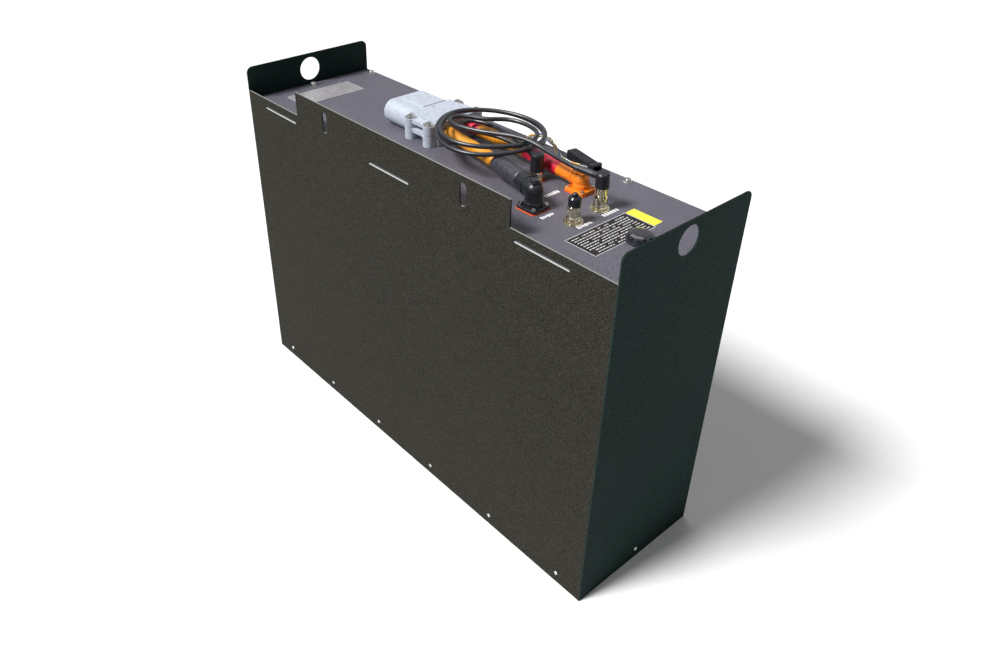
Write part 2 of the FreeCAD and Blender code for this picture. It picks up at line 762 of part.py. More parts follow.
def make_electronics():
    x = bay_x()
    upright_plate = block("panel_sheet", x + panel_gauge / 2, 0, wall_gauge, panel_gauge, stack_wide,
                          layer_floor(3) - shelf_gauge - wall_gauge)
    foot = block("panel_foot", x + unit_deep / 2, 0, wall_gauge, unit_deep, stack_wide, panel_gauge)
    part("electronics_panel", join("electronics_panel", upright_plate, foot))
    face = x + panel_gauge
    case = block("unit_case", face + unit_deep / 2, 0, layer_floor(1), unit_deep, unit_wide, unit_tall)
    fins = [block(f"unit_fin_{index}", face + unit_deep + 4, (index - 4) * unit_wide / 10,
                  layer_floor(1) + 12, 8, 5, unit_tall - 24) for index in range(9)]
    part("management_unit", join("management_unit", case, *fins))
    level = layer_floor(2) + 60
    body = rod("contactor_can", face, -unit_wide / 5, level, contactor_bore, contactor_tall, "X")
    posts = [rod(f"contactor_post_{end}", face + contactor_tall, -unit_wide / 5 + end * 22, level,
                 10, 12, "X") for end in (-1, 1)]
    part("main_contactor", join("main_contactor", body, *posts))
    fuse_y = unit_wide / 4
    barrel = rod("fuse_barrel", face + bar_gauge + fuse_bore / 2, fuse_y, level - fuse_long / 2,
                 fuse_bore, fuse_long)
    blades = [block(f"fuse_blade_{end}", face + bar_gauge + fuse_bore / 2, fuse_y,
                    level + end * (fuse_long / 2 + 14) - 14, bar_gauge, bar_wide, 28)
              for end in (-1, 1)]
    saddle = block("fuse_saddle", face + bar_gauge + 2, fuse_y, level - fuse_long / 4,
                   2 * bar_gauge + 4, bar_wide, fuse_long / 2)
    part("main_fuse", join("main_fuse", barrel, *blades, saddle))


def make_inner_bars():
    bars = []
    top = lid_under - socket_below - bar_gauge
    face = bay_x() + panel_gauge
    for name, x, y in (("negative", negative_x, negative_y), ("positive", positive_x, positive_y)):
        end = face + unit_deep
        run = block(f"{name}_bar_run", (x + end) / 2, y, top, end - x + bar_wide, bar_wide, bar_gauge)
        drop = block(f"{name}_bar_drop", end + bar_wide / 2 - bar_gauge / 2, y, top - 60, bar_gauge,
                     bar_wide, 60)
        bars.append(join(f"{name}_bar", run, drop))
    part("inner_bars", gather("inner_bars", bars))


# Power connector: a flat rounded nose with two contact wells, gripped by a two-part clamp
def along_body(edge):
    start, end = edge.Vertexes[0].Point, edge.Vertexes[-1].Point
    return abs(start.y - end.y) < 0.01 and abs(start.z - end.z) < 0.01


def nose_profile(wide, tall):
    return [(-wide / 2, 0), (wide / 2, 0), (wide / 2, tall), (-wide / 2, tall)]


def make_connector_nose():
    shell = padded("nose_shell", "YZ_Plane", nose_profile(nose_wide, nose_tall), nose_long,
                   False, nose_tall / 2 - 1, along_body)
    place(shell, nose_tip, nose_y, lid_top)
    grip_long = nose_long - grip_margin
    grip = block("nose_grip", nose_tip + grip_margin + grip_long / 2, nose_y + 12,
                 lid_top + nose_tall - 1, grip_long, grip_wide, grip_tall + 1)
    rib = block("nose_rib", nose_tip + 8 + nose_long / 2, nose_y - 22, lid_top + nose_tall - 1,
                nose_long - 18, 2.4, grip_tall + 0.6)
    mouth = padded("nose_mouth", "YZ_Plane",
                   nose_profile(nose_wide - 2 * mouth_wall, nose_tall - 2 * mouth_wall),
                   mouth_deep, False, nose_tall / 2 - mouth_wall - 1, along_body)
    place(mouth, nose_tip - 1, nose_y, lid_top + mouth_wall)
    hollow = carve("nose_hollow", join("nose_outside", shell, grip, rib), mouth)
    middle = lid_top + nose_tall / 2
    start = nose_tip + contact_inset
    key = block("nose_key", start + mouth_deep / 2, nose_y, middle - key_tall / 2, mouth_deep,
                key_wide, key_tall)
    filled = join("nose_filled", hollow, key)
    wells = [rod(f"nose_well_{side}", start, nose_y + side * contact_pitch / 2, middle,
                 contact_bore + 2 * contact_wall, nose_long, "X") for side in (-1, 1)]
    slot = block("nose_key_slot", start + key_deep / 2 - 1, nose_y, middle - key_slot_tall / 2,
                 key_deep + 2, key_slot_wide, key_slot_tall)
    part("connector_nose", carve("connector_nose", filled, slot, *wells))


def make_power_contacts():
    middle = lid_top + nose_tall / 2
    start = nose_tip + contact_inset
    contacts = []
    for side in (-1, 1):
        y = nose_y + side * contact_pitch / 2
        barrel = rod(f"contact_barrel_{side}", start, y, middle, contact_bore + 2 * contact_wall,
                     nose_long + clamp_long - contact_inset, "X")
        hole = rod(f"contact_hole_{side}", start - 1, y, middle, contact_bore, contact_deep + 1, "X")
        contacts.append(carve(f"contact_{side}", barrel, hole))
    part("power_contacts", gather("power_contacts", contacts))


def clamp_half(name, base, tall, boss, plate):
    """One half of the clamp: a core with four bosses, and a plate that ties the bosses of a side."""
    start = nose_tip + nose_long
    items = [block(f"{name}_core", start + clamp_long / 2, nose_y, base, clamp_long, clamp_wide, tall)]
    for side in (-1, 1):
        y = nose_y + side * boss_y
        for end in (0, 1):
            x = start + boss_front_x + end * boss_pitch
            items.append(rod(f"{name}_boss_{end}_{side}", x, y, base, boss_wide, boss))
            items.append(block(f"{name}_web_{end}_{side}", x, nose_y + side * boss_y / 2, base,
                               boss_wide, boss_y, boss))
        middle = start + boss_front_x + boss_pitch / 2
        reach = boss_y + boss_wide / 4 - clamp_wide / 4
        items.append(block(f"{name}_plate_{side}", middle, nose_y + side * (clamp_wide / 4 + reach / 2),
                           plate, boss_pitch, reach, boss_plate))
    return join(f"{name}_form", *items)


def make_connector_clamp():
    start = nose_tip + nose_long
    middle = lid_top + nose_tall / 2
    tools = {"lower": [], "upper": []}
    for end in (0, 1):
        for side in (-1, 1):
            x = start + boss_front_x + end * boss_pitch
            y = nose_y + side * boss_y
            for half in tools:
                tools[half].append(rod(f"clamp_hole_{half}_{end}_{side}", x, y, lid_top - 1,
                                       clamp_bolt_shank + hole_margin, nose_tall + 4))
            tools["upper"].append(rod(f"clamp_seat_{end}_{side}", x, y, lid_top + boss_tall,
                                      clamp_washer + 1, nose_tall))
            tools["lower"].append(hexagon(f"clamp_nut_well_{end}_{side}", x, y, lid_top - 1,
                                          clamp_bolt_flats + hole_margin, 7))
    for side in (-1, 1):
        y = nose_y + side * contact_pitch / 2
        for half in tools:
            tools[half].append(rod(f"clamp_bore_{half}_{side}", start - 1, y, middle,
                                   contact_bore + 2 * contact_wall, clamp_long + 2, "X"))
    tools["upper"].append(rod("clamp_dimple", start + 11, nose_y + 2, lid_top + nose_tall - 2, 7, 6))
    tools["upper"].append(block("clamp_groove", start + clamp_long / 2, nose_y,
                                lid_top + nose_tall - 1.5, clamp_long - 26, 1.6, 4))
    split = nose_tall / 2 - 0.4
    halves = (("lower", lid_top, split, split, middle - 0.4 - boss_plate),
              ("upper", middle + 0.4, split, boss_tall - nose_tall / 2 - 0.4,
               lid_top + boss_tall - boss_plate))
    for half, base, tall, boss, plate in halves:
        form = clamp_half(f"clamp_{half}", base, tall, boss, plate)
        part(f"connector_clamp_{half}", carve(f"connector_clamp_{half}", form, *tools[half]))


def make_clamp_bolts():
    start = nose_tip + nose_long
    top = lid_top + boss_tall
    bolts = []
    for end in (0, 1):
        for side in (-1, 1):
            x = start + boss_front_x + end * boss_pitch
            y = nose_y + side * boss_y
            tag = f"{end}_{side}"
            disc = rod(f"clamp_bolt_disc_{tag}", x, y, top, clamp_washer, 2)
            head = hexagon(f"clamp_bolt_head_{tag}", x, y, top + 2, clamp_bolt_flats, 5)
            shank = rod(f"clamp_bolt_shank_{tag}", x, y, lid_top + 1, clamp_bolt_shank, boss_tall)
            nut = hexagon(f"clamp_bolt_nut_{tag}", x, y, lid_top + 1, clamp_bolt_flats, 5)
            bolts.append(join(f"clamp_bolt_{tag}", disc, head, shank, nut))
    part("clamp_bolts", gather("clamp_bolts", bolts))


# Flanged power sockets on the lid, with the right-angle plugs that the leads end in
def flange_corners():
    reach = flange_bolts / 2
    return [(f"{i}{j}", (2 * i - 1) * reach, (2 * j - 1) * reach) for i in (0, 1) for j in (0, 1)]


def make_flanges():
    gaskets = []
    screws = []
    for name, x, y in (("negative", negative_x, negative_y), ("positive", positive_x, positive_y)):
        seat = lid_top + gasket_gauge
        flat = slab(f"{name}_flange_slab", x, y, seat, flange_side, flange_side, flange_tall,
                    flange_round)
        neck = rod(f"{name}_flange_neck", x, y, lid_under - socket_below, flange_cut,
                   socket_below + lid_gauge + gasket_gauge + 1)
        holes = [rod(f"{name}_flange_hole_{corner}", x + dx, y + dy, lid_top,
                     flange_screw + hole_margin, 2 * flange_tall)
                 for corner, dx, dy in flange_corners()]
        part(f"{name}_flange", carve(f"{name}_flange", join(f"{name}_flange_form", flat, neck), *holes))
        pad = slab(f"{name}_gasket_slab", x, y, lid_top, flange_side + 2, flange_side + 2, gasket_gauge,
                   flange_round)
        eyes = [rod(f"{name}_gasket_eye_{corner}", x + dx, y + dy, lid_top - 1,
                    flange_screw + hole_margin, 3 * gasket_gauge)
                for corner, dx, dy in flange_corners()]
        window = rod(f"{name}_gasket_window", x, y, lid_top - 1, flange_cut + hole_margin,
                     3 * gasket_gauge)
        gaskets.append(carve(f"{name}_gasket", pad, window, *eyes))
        for corner, dx, dy in flange_corners():
            top = seat + flange_tall
            head = rod(f"{name}_screw_head_{corner}", x + dx, y + dy, top, flange_head, 4)
            recess = hexagon(f"{name}_screw_recess_{corner}", x + dx, y + dy, top + 2, 3.4, 3)
            shank = rod(f"{name}_screw_shank_{corner}", x + dx, y + dy, lid_under - 6, flange_screw,
                        flange_tall + gasket_gauge + lid_gauge + 7)
            screws.append(carve(f"{name}_screw_{corner}",
                                join(f"{name}_screw_form_{corner}", head, shank), recess))
    part("flange_gaskets", gather("flange_gaskets", gaskets))
    part("flange_screws", gather("flange_screws", screws))


def right_angle_plug(name, x, y, base, axis, side, inlet, inlet_bore, turn):
    """A round elbow whose cable inlet runs level towards the connector, with a button pad on top."""
    top = axis + side / 2 + 1
    stem = rod(f"{name}_plug_stem", 0, 0, base, side, axis - base)
    knee = doc.addObject("Part::Sphere", f"{name}_plug_knee")
    bind(knee, "Radius", side / 2 + 0.6)
    place(knee, 0, 0, axis)
    shoulder = rod(f"{name}_plug_shoulder", 0, 0, base - plug_lift, side + 3, plug_lift + 5)
    barrel = rod(f"{name}_plug_barrel", -side / 2 - inlet, 0, axis, inlet_bore, inlet + side / 2, "X")
    lip = rod(f"{name}_plug_lip", -side / 2 - 7, 0, axis, inlet_bore + 3, 4, "X")
    pad = block(f"{name}_button_pad", 0, 0, axis, button_long + 5, button_wide + 5, top - axis)
    well = block(f"{name}_button_well", 0, 0, top - button_deep, button_long + 2 * button_gap,
                 button_wide + 2 * button_gap, button_deep + 2)
    form = join(f"{name}_plug_form", stem, knee, shoulder, barrel, lip, pad)
    part(f"{name}_plug", place(carve(f"{name}_plug", form, well), x, y, lid_top, turn))
    foot = button_travel + 0.5
    push = block(f"{name}_button_block", 0, 0, top - button_deep + foot, button_long, button_wide,
                 button_deep - foot + button_rise)
    groove = block(f"{name}_button_groove", 0, 0, top + button_rise - 0.8, button_long - 6, 1.2, 2)
    part(f"{name}_button", place(carve(f"{name}_button", push, groove), x, y, lid_top, turn))


def make_plugs():
    seat = gasket_gauge + flange_tall
    right_angle_plug("negative", negative_x, negative_y, seat + plug_lift, negative_axis,
                     negative_side, negative_inlet, shrink_bore, negative_turn)
    right_angle_plug("positive", positive_x, positive_y, seat + plug_lift, positive_axis,
                     positive_side, positive_inlet, conduit_bore, positive_turn)


def inlet_mouth(x, y, level, reach, turn):
    """The point where a level inlet ends, given its plug's middle and the inlet's reach."""
    angle = math.radians(plain(turn))
    return Vector(plain(x) - plain(reach) * math.cos(angle), plain(y) - plain(reach) * math.sin(angle),
                  plain(lid_top + level))


# Leads: corrugated conduits that end in heat-shrink or a sleeve at each plug
def make_leads():
    back = nose_tip + nose_long + clamp_long
    front = inlet_mouth(back, nose_y - contact_pitch / 2, nose_tall / 2, 0, 0)
    rear = inlet_mouth(back, nose_y + contact_pitch / 2, nose_tall / 2, 0, 0)
    shrink_start = (142, -25, 34)
    tube("negative_conduit", above_lid([front, (-14, 6.5, 27.5), (36, -1.5, 28.5), (89, -12, 31),
                                        shrink_start]), plain(conduit_bore))
    end = inlet_mouth(negative_x, negative_y, negative_axis, negative_side / 2 + negative_inlet,
                      negative_turn)
    tube("negative_shrink", above_lid([shrink_start, (175, -34.3, 36.3), (207, -43, 38), end]),
         plain(shrink_bore))
    sleeve_end = (-14, 73.6, 27)
    sleeve_start = (129, 71.3, 26)
    tube("positive_rear_sleeve", above_lid([rear, sleeve_end]), plain(sleeve_bore))
    tube("positive_conduit", above_lid([sleeve_end, (28, 73.4, 26.7), (78, 72.8, 26.3), sleeve_start]),
         plain(conduit_bore))
    end = inlet_mouth(positive_x, positive_y, positive_axis, positive_side / 2 + positive_inlet,
                      positive_turn)
    tube("positive_front_sleeve", above_lid([sleeve_start, (163, 69.6, 25), (197, 67.5, 24.3), end]),
         plain(sleeve_bore))


# Round signal sockets: flanged shells through the lid with a nut beneath
def make_sockets():
    nuts = []
    heights = (("a", a_x, a_y, short_socket), ("b", b_x, b_y, cap_socket), ("c", c_x, c_y, tall_socket))
    for name, x, y, tall in heights:
        radius = socket_bore / 2
        rim = socket_rim / 2
        profile = [(0, -socket_below), (radius, -socket_below), (radius, lid_gauge), (rim, lid_gauge),
                   (rim, lid_gauge + socket_rim_tall), (radius, lid_gauge + socket_rim_tall),
                   (radius, lid_gauge + tall - 5), (0, lid_gauge + tall - 5)]
        part(f"socket_{name}", turned(f"socket_{name}", profile, x, y, lid_under))
        ring = hexagon(f"socket_nut_ring_{name}", x, y, lid_under - nut_tall, nut_flats, nut_tall)
        eye = rod(f"socket_nut_eye_{name}", x, y, lid_under - 2 * nut_tall, socket_bore + 2 * ring_play,
                  3 * nut_tall)
        nuts.append(carve(f"socket_nut_{name}", ring, eye))
    part("socket_nuts", gather("socket_nuts", nuts))


def coupling_ring(name, x, y, base, tall):
    """A loose nut round the socket's thread, with a fluted grip."""
    radius = ring_bore / 2
    bore = socket_bore / 2 + ring_play
    profile = [(bore, 0.0), (radius + 0.8, 0.0), (radius + 0.8, tall * 0.28), (radius, tall * 0.34),
               (radius, tall * 0.86), (radius - 1, tall), (bore, tall)]
    ring = turned(f"{name}_blank", profile, 0, 0, 0)
    flutes = []
    for index in range(12):
        angle = 2 * math.pi * index / 12
        flutes.append(rod(f"{name}_flute_{index}", (radius + 1.6) * math.cos(angle),
                          (radius + 1.6) * math.sin(angle), tall * 0.42, 3, tall * 0.36))
    item = carve(name, ring, *flutes)
    place(item, x, y, lid_top + base)
    part(name, item)


def side_outlet_plug(name, x, y, base, neck, tall, outlet_level, turn):
    """A round plug whose cord leaves level from its side."""
    radius = plug_bore / 2
    shelf = socket_bore / 2 - 3
    foot = [(0, 0.0), (shelf, 0.0), (shelf, neck)] if neck else [(0, 0.0)]
    profile = foot + [(radius, neck), (radius, neck + tall * 0.9), (radius - 2, neck + tall),
                      (0, neck + tall)]
    body = turned(f"{name}_turned", profile, 0, 0, 0)
    outlet = rod(f"{name}_outlet", -radius - outlet_long, 0, outlet_level - base, outlet_bore,
                 outlet_long + radius, "X")
    item = join(name, body, outlet)
    place(item, x, y, lid_top + base, turn)
    part(name, item)


def make_signal_plugs():
    gap = fit_gap
    rim = socket_rim_tall
    coupling_ring("ring_a", a_x, a_y, rim + gap, short_socket - rim - 2 * gap)
    side_outlet_plug("plug_a", a_x, a_y, short_socket - 5, 5.0, short_plug, a_outlet, a_turn)
    coupling_ring("ring_c", c_x, c_y, rim + gap, tall_socket - rim - 2 * gap)
    neck_ring = turned("neck_c", [(0, 0), (socket_bore / 2 - 3, 0), (socket_bore / 2 - 3, 5.0),
                                  (plug_bore / 2 - 1, 5.0), (plug_bore / 2 - 1, tall_neck + 5),
                                  (0, tall_neck + 5)], c_x, c_y, lid_top + tall_socket - 5)
    part("plug_c_neck", neck_ring)
    side_outlet_plug("plug_c", c_x, c_y, tall_socket + tall_neck, 0.0, tall_plug, c_outlet,
                     c_turn)


def make_cap():
    radius = cap_bore / 2
    bore = socket_bore / 2 + ring_play
    foot = skirt_wide * 0.36
    low = socket_rim_tall + fit_gap
    stub = cap_socket - 5 + fit_gap - low
    top = cap_ring_tall + cap_tall
    knob = knob_wide / 2
    profile = [(0, stub), (bore, stub), (bore, 0.0), (foot, 0.0), (foot, 7.0), (radius + 0.2, 10.0),
               (radius + 0.2, cap_ring_tall - 4), (radius + 1.2, cap_ring_tall - 3.4),
               (radius + 1.2, cap_ring_tall), (radius, cap_ring_tall), (radius, top - 3),
               (radius - 3, top), (knob, top), (knob, top + knob_tall - 1.5),
               (knob - 1.5, top + knob_tall), (0, top + knob_tall)]
    part("cap_b", turned("cap_b", profile, b_x, b_y, lid_top + low))


# Signal cord between the two plugs, laid in a loose coil on the leads and the connector
def oval(name, length, width, level):
    ring = doc.addObject("Part::Ellipse", name)
    bind(ring, "MajorRadius", length / 2)
    bind(ring, "MinorRadius", width / 2)
    ring.Visibility = False
    return place(ring, 0, 0, level)


def make_cord():
    bowl = doc.addObject("Part::Loft", "coil_outside")
    bowl.Sections = [oval("coil_low", coil_long - 2 * coil_flare, coil_wide - 2 * coil_flare, 0),
                     oval("coil_high", coil_long, coil_wide, coil_tall)]
    bowl.Solid = True
    bowl.Ruled = True
    eye = doc.addObject("Part::Extrusion", "coil_eye")
    eye.Base = oval("coil_eye_rim", coil_eye_long, coil_eye_wide, 0)
    eye.Dir = Vector(0, 0, 1)
    eye.DirMode = "Custom"
    eye.Solid = True
    bind(eye, "LengthFwd", 2 * coil_tall)
    place(eye, 0, 0, -coil_tall / 2)
    coil = carve("cord_coil", bowl, eye)
    place(coil, coil_x, coil_y, lid_top + nose_tall + fit_gap)
    part("cord_coil", coil)
    reach = plug_bore / 2 + outlet_long
    rim = plain(coil_x - fittings_x + coil_long / 2 - coil_flare)
    relief = cone("relief_c", 0, 0, 0, outlet_bore, cord_bore + 3, relief_long, "X")
    start = inlet_mouth(c_x, c_y, c_outlet, reach, c_turn)
    level = Rotation(Vector(0, 0, 1), 180 + plain(c_turn)).multiply(Rotation(Vector(0, 1, 0), 90))
    relief.Placement = Placement(start, level)
    part("relief_c", relief)
    start = inlet_mouth(c_x, c_y, c_outlet, reach + relief_long, c_turn)
    tube("cord_to_c", above_lid([start, (268, 29.5, 64.6), (237, 34, 66), (203, 36.5, 67.5),
                                 (rim + 4, 35, 69)]), plain(cord_bore))
    start = inlet_mouth(a_x, a_y, a_outlet, reach, a_turn)
    tube("cord_to_a", above_lid([start, (169.8, 35.2, 51), (rim - 1, 36.8, 54.6)]), plain(cord_bore))


# Pressure vent: a flanged stem through the lid with a slotted dome over it
def make_vent():
    rim = vent_wide / 2
    stem = vent_stem / 2
    profile = [(0, -12), (stem, -12), (stem, lid_gauge), (rim, lid_gauge),
               (rim, lid_gauge + vent_base_tall), (0, lid_gauge + vent_base_tall)]
    part("vent_base", turned("vent_base", profile, vent_x, vent_y, lid_under))
    top = vent_cap_tall
    dome = turned("vent_dome", [(0, 0), (rim - 3, 0), (rim - 3, top * 0.55), (rim - 5, top * 0.8),
                                (rim - 10, top * 0.95), (rim - 18, top), (0, top)], 0, 0, 0)
    slots = []
    for index in range(12):
        slot = block(f"vent_slot_{index}", 0, 0, top * 0.2, 5, 3.2, top * 0.45)
        spoke = Placement(Vector(0, 0, 0), Rotation(Vector(0, 0, 1), 30 * index))
        slot.Placement = spoke.multiply(Placement(Vector(plain(rim) - 6.5, -1.6, plain(top) * 0.2),
                                                  Rotation()))
        slots.append(slot)
    cap = carve("vent_cap", dome, *slots)
    place(cap, vent_x, vent_y, lid_top + vent_base_tall)
    part("vent_cap", cap)


# Signal harness: grommet, wire bundle and the open housing that lies at the lid's rear edge
def make_harness():
    rim = grommet_wide / 2
    neck = rim - 2.4
    bore = harness_bore / 2
    profile = [(bore, -3), (rim, -3), (rim, 0), (neck, 0), (neck, lid_gauge), (rim, lid_gauge),
               (rim - 1, lid_gauge + 3), (bore + 2, lid_gauge + 6), (bore, lid_gauge + 6)]
    part("harness_grommet", turned("harness_grommet", profile, grommet_x, grommet_y, lid_under))
    core = block("housing_core", 0, 0, 0, housing_long, housing_wide, housing_tall)
    ribs = [block(f"housing_rib_{index}", -6, (index - 1) * 7, housing_tall - 1,
                  housing_long * 0.74, 2.6, 2.8) for index in range(3)]
    collar = block("housing_collar", housing_long / 2 - 6, 0, 0, 8, housing_wide + 4,
                   housing_tall + 1.6)
    entry = rod("housing_entry", entry_x, entry_y, entry_bore / 2 + 1, entry_bore, entry_long)
    level = Rotation(Vector(0, 0, 1), plain(entry_turn)).multiply(Rotation(Vector(0, 1, 0), 90))
    entry.Placement = Placement(entry.Placement.Base, level)
    mouth = block("housing_mouth_cut", (housing_long - housing_mouth) / 2 + 1, 0, housing_wall,
                  housing_mouth + 2, housing_wide - 2 * housing_wall,
                  housing_tall - 2 * housing_wall)
    housing = carve("signal_housing", join("housing_form", core, collar, entry, *ribs), mouth)
    place(housing, housing_x, housing_y, lid_top, housing_turn)
    part("signal_housing", housing)
    turn = math.radians(plain(housing_turn))
    angle = math.radians(plain(entry_turn))
    along = plain(entry_x) + plain(entry_long) * math.cos(angle)
    aside = plain(entry_y) + plain(entry_long) * math.sin(angle)
    end = Vector(plain(housing_x) + along * math.cos(turn) - aside * math.sin(turn),
                 plain(housing_y) + along * math.sin(turn) + aside * math.cos(turn),
                 plain(lid_top + entry_bore / 2 + 1))
    hole = Vector(plain(grommet_x), plain(grommet_y), plain(lid_top))
    tube("harness_bundle", above_lid([hole + Vector(0, 0, -5), hole + Vector(0, 0, 14),
                                      (74, -32.5, 27), (97, -18.5, 28), (124, -21.5, 21),
                                      (148, -33.5, 14), (171, -44.5, 9.5), (196, -49, 7.6), end],
                                     half_wide), plain(harness_bore))


for make in (make_front_wall, make_back_wall, make_end_walls, make_lid_rails, make_bottom_pan,
             make_bottom_screws, make_lid, make_lid_bolts, make_name_plate, make_cells,
             make_stack_frame, make_electronics, make_inner_bars, make_connector_nose,
             make_power_contacts, make_connector_clamp, make_clamp_bolts, make_flanges, make_plugs,
             make_leads, make_sockets, make_signal_plugs, make_cap, make_cord, make_vent,
             make_harness):
    make()

doc.recompute()
faults = []
for item in doc.Objects:
    if "Invalid" in item.State or "Error" in item.State:
        faults.append(f"{item.Label} {item.State}")
for item in parts:
    if item.Shape.isNull() or not item.Shape.isValid() or item.Shape.Volume <= 0:
        faults.append(f"{item.Label} has no valid shape")
if faults:
    raise RuntimeError("; ".join(faults))
os.makedirs("parts", exist_ok=True)
for item in parts:
    item.Shape.exportStep(f"parts/{item.Label}.step")
print(len(parts), "parts")
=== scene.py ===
import math

import bpy
import numpy as np
from mathutils import Matrix, Vector


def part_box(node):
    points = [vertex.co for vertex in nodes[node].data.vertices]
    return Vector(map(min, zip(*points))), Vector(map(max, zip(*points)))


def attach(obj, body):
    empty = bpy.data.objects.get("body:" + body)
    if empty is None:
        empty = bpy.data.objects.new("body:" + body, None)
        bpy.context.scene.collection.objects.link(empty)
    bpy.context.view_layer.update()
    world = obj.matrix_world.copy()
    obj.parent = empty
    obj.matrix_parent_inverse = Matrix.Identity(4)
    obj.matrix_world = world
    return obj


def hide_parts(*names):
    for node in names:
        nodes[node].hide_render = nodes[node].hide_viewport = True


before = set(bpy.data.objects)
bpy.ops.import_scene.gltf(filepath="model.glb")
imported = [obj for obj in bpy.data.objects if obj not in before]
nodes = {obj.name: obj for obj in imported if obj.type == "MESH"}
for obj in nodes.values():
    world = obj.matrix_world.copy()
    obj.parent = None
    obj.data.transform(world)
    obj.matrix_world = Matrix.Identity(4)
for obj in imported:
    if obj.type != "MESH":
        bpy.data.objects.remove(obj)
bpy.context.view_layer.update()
mm = 0.001
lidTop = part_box("lid")[1][2]
print("frame loaded", len(nodes), "nodes")


# Camera at the photograph's place, in the part's own frame
cameraSetup = {
    "eye": (1.26483, -1.10976, 1.49013),
    "right": (0.65139584, 0.75873309, 0.00274863),
    "down": (0.40975385, -0.34873281, -0.84290404),
    "ahead": (-0.63858064, 0.55019045, -0.53805690),
    "focalPixels": 850.05,
    "opticalCentre": (452.355, 284.811),
    "frameSize": (1000, 666),
}


def makeCamera(setup):
    width, height = setup["frameSize"]
    data = bpy.data.cameras.new("camera")
    data.sensor_width = 36
    data.lens = setup["focalPixels"] * 36 / width
    data.shift_x = (width / 2 - setup["opticalCentre"][0]) / width
    data.shift_y = (setup["opticalCentre"][1] - height / 2) / width
    data.clip_end = 60
    camera = bpy.data.objects.new("camera", data)
    turn = Matrix([setup["right"], [-v for v in setup["down"]], [-v for v in setup["ahead"]]])
    camera.matrix_world = Matrix.Translation(setup["eye"]) @ turn.transposed().to_4x4()
    bpy.context.collection.objects.link(camera)
    bpy.context.scene.camera = camera


makeCamera(cameraSetup)


# Curves and surfaces
def routeLine(name, points, count):
    # evenly spaced points of the smooth line that a route's points steer
    curve = bpy.data.curves.new(name, "CURVE")
    curve.dimensions = "3D"
    spline = curve.splines.new("NURBS")
    spline.points.add(len(points) - 1)
    spline.points.foreach_set("co", np.c_[points, np.ones(len(points))].ravel())
    spline.order_u = 3
    spline.use_endpoint_u = True
    spline.resolution_u = 24
    holder = bpy.data.objects.new(name, curve)
    mesh = bpy.data.meshes.new_from_object(holder)
    line = np.empty(3 * len(mesh.vertices))
    mesh.vertices.foreach_get("co", line)
    line = line.reshape(-1, 3)
    bpy.data.objects.remove(holder)
    travel = np.r_[0, np.cumsum(np.linalg.norm(np.diff(line, axis=0), axis=1))]
    spaced = np.linspace(0, travel[-1], count)
    return np.stack([np.interp(spaced, travel, line[:, axis]) for axis in range(3)], axis=1)


def lineFrames(line):
    # two unit vectors across the line at each point, carried along without twist
    ahead = np.gradient(line, axis=0)
    ahead /= np.linalg.norm(ahead, axis=1)[:, None]
    guide = np.array([0.0, 0.0, 1.0]) if abs(ahead[0, 2]) < 0.8 else np.array([0.0, 1.0, 0.0])
    across = np.empty_like(line)
    for index, direction in enumerate(ahead):
        guide = guide - direction * guide.dot(direction)
        guide /= np.linalg.norm(guide)
        across[index] = guide
    return across, np.cross(ahead, across)


def gridFaces(rows, columns, firstVertex=0):
    # quads between neighbouring rings of a grid whose rings close on themselves
    row, column = np.meshgrid(np.arange(rows - 1), np.arange(columns), indexing="ij")
    after = (column + 1) % columns
    quads = np.stack([row * columns + column, row * columns + after,
                      (row + 1) * columns + after, (row + 1) * columns + column], axis=-1)
    return quads.reshape(-1, 4) + firstVertex


def addPiece(name, points, faces, material, body="case", smooth=True):
    mesh = bpy.data.meshes.new(name)
    mesh.from_pydata(np.asarray(points).reshape(-1, 3).tolist(), [], np.asarray(faces).tolist())
    mesh.polygons.foreach_set("use_smooth", [smooth] * len(mesh.polygons))
    mesh.materials.append(material)
    piece = bpy.data.objects.new(name, mesh)
    bpy.context.collection.objects.link(piece)
    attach(piece, body)
    return piece


def sweepGrid(line, radii, sides):
    # ring point = line point + radius * (cos(angle) * across + sin(angle) * aside), shut at both ends
    across, aside = lineFrames(line)
    angle = np.linspace(0, 2 * np.pi, sides, endpoint=False)
    ring = np.cos(angle)[None, :, None] * across[:, None] + np.sin(angle)[None, :, None] * aside[:, None]
    radii = np.asarray(radii, float)
    radii = radii[:, None] if radii.ndim == 1 else radii
    grid = line[:, None] + radii[..., None] * ring
    shut = [np.repeat(line[:1, None], sides, axis=1), grid, np.repeat(line[-1:, None], sides, axis=1)]
    return np.concatenate(shut)


def sweepPiece(name, line, radii, sides, material, body="case"):
    grid = sweepGrid(line, radii, sides)
    return addPiece(name, grid, gridFaces(len(grid), sides)[:, ::-1], material, body)


def boxMarks(name, rectangles, level, thick, material):
    # thin flat bars: each row is x, y, half length along x, half width along y
    corners = np.array([(-1, -1), (1, -1), (1, 1), (-1, 1)])
    flat = rectangles[:, None, :2] + corners[None] * rectangles[:, None, 2:4]
    low = np.concatenate([flat, np.full(flat.shape[:2] + (1,), level)], axis=2)
    high = low + (0, 0, thick)
    points = np.concatenate([low, high], axis=1)
    quads = np.array([(0, 1, 5, 4), (1, 2, 6, 5), (2, 3, 7, 6), (3, 0, 4, 7), (4, 5, 6, 7), (3, 2, 1, 0)])
    faces = quads[None] + 8 * np.arange(len(rectangles))[:, None, None]
    return addPiece(name, points, faces.reshape(-1, 4), material, smooth=False)


# Finishes: each is one dictionary, in metres and linear colour
finishSetup = {
    "mottleSize": 0.06,
    "mottle": 0.12,
    "roughSpread": 0.05,
    "fleckSpread": 0.08,
    "edgeWidth": 0.6 * mm,
    "edgeSteep": (0.985, 0.86),
    "facingStripLimit": 0.9,
    "grainStrength": 0.6,
    # painted shade in the rib valleys, and the rib height where the painted crest highlight starts
    "valleyShade": 0.55,
    "crestFrom": 0.6,
}


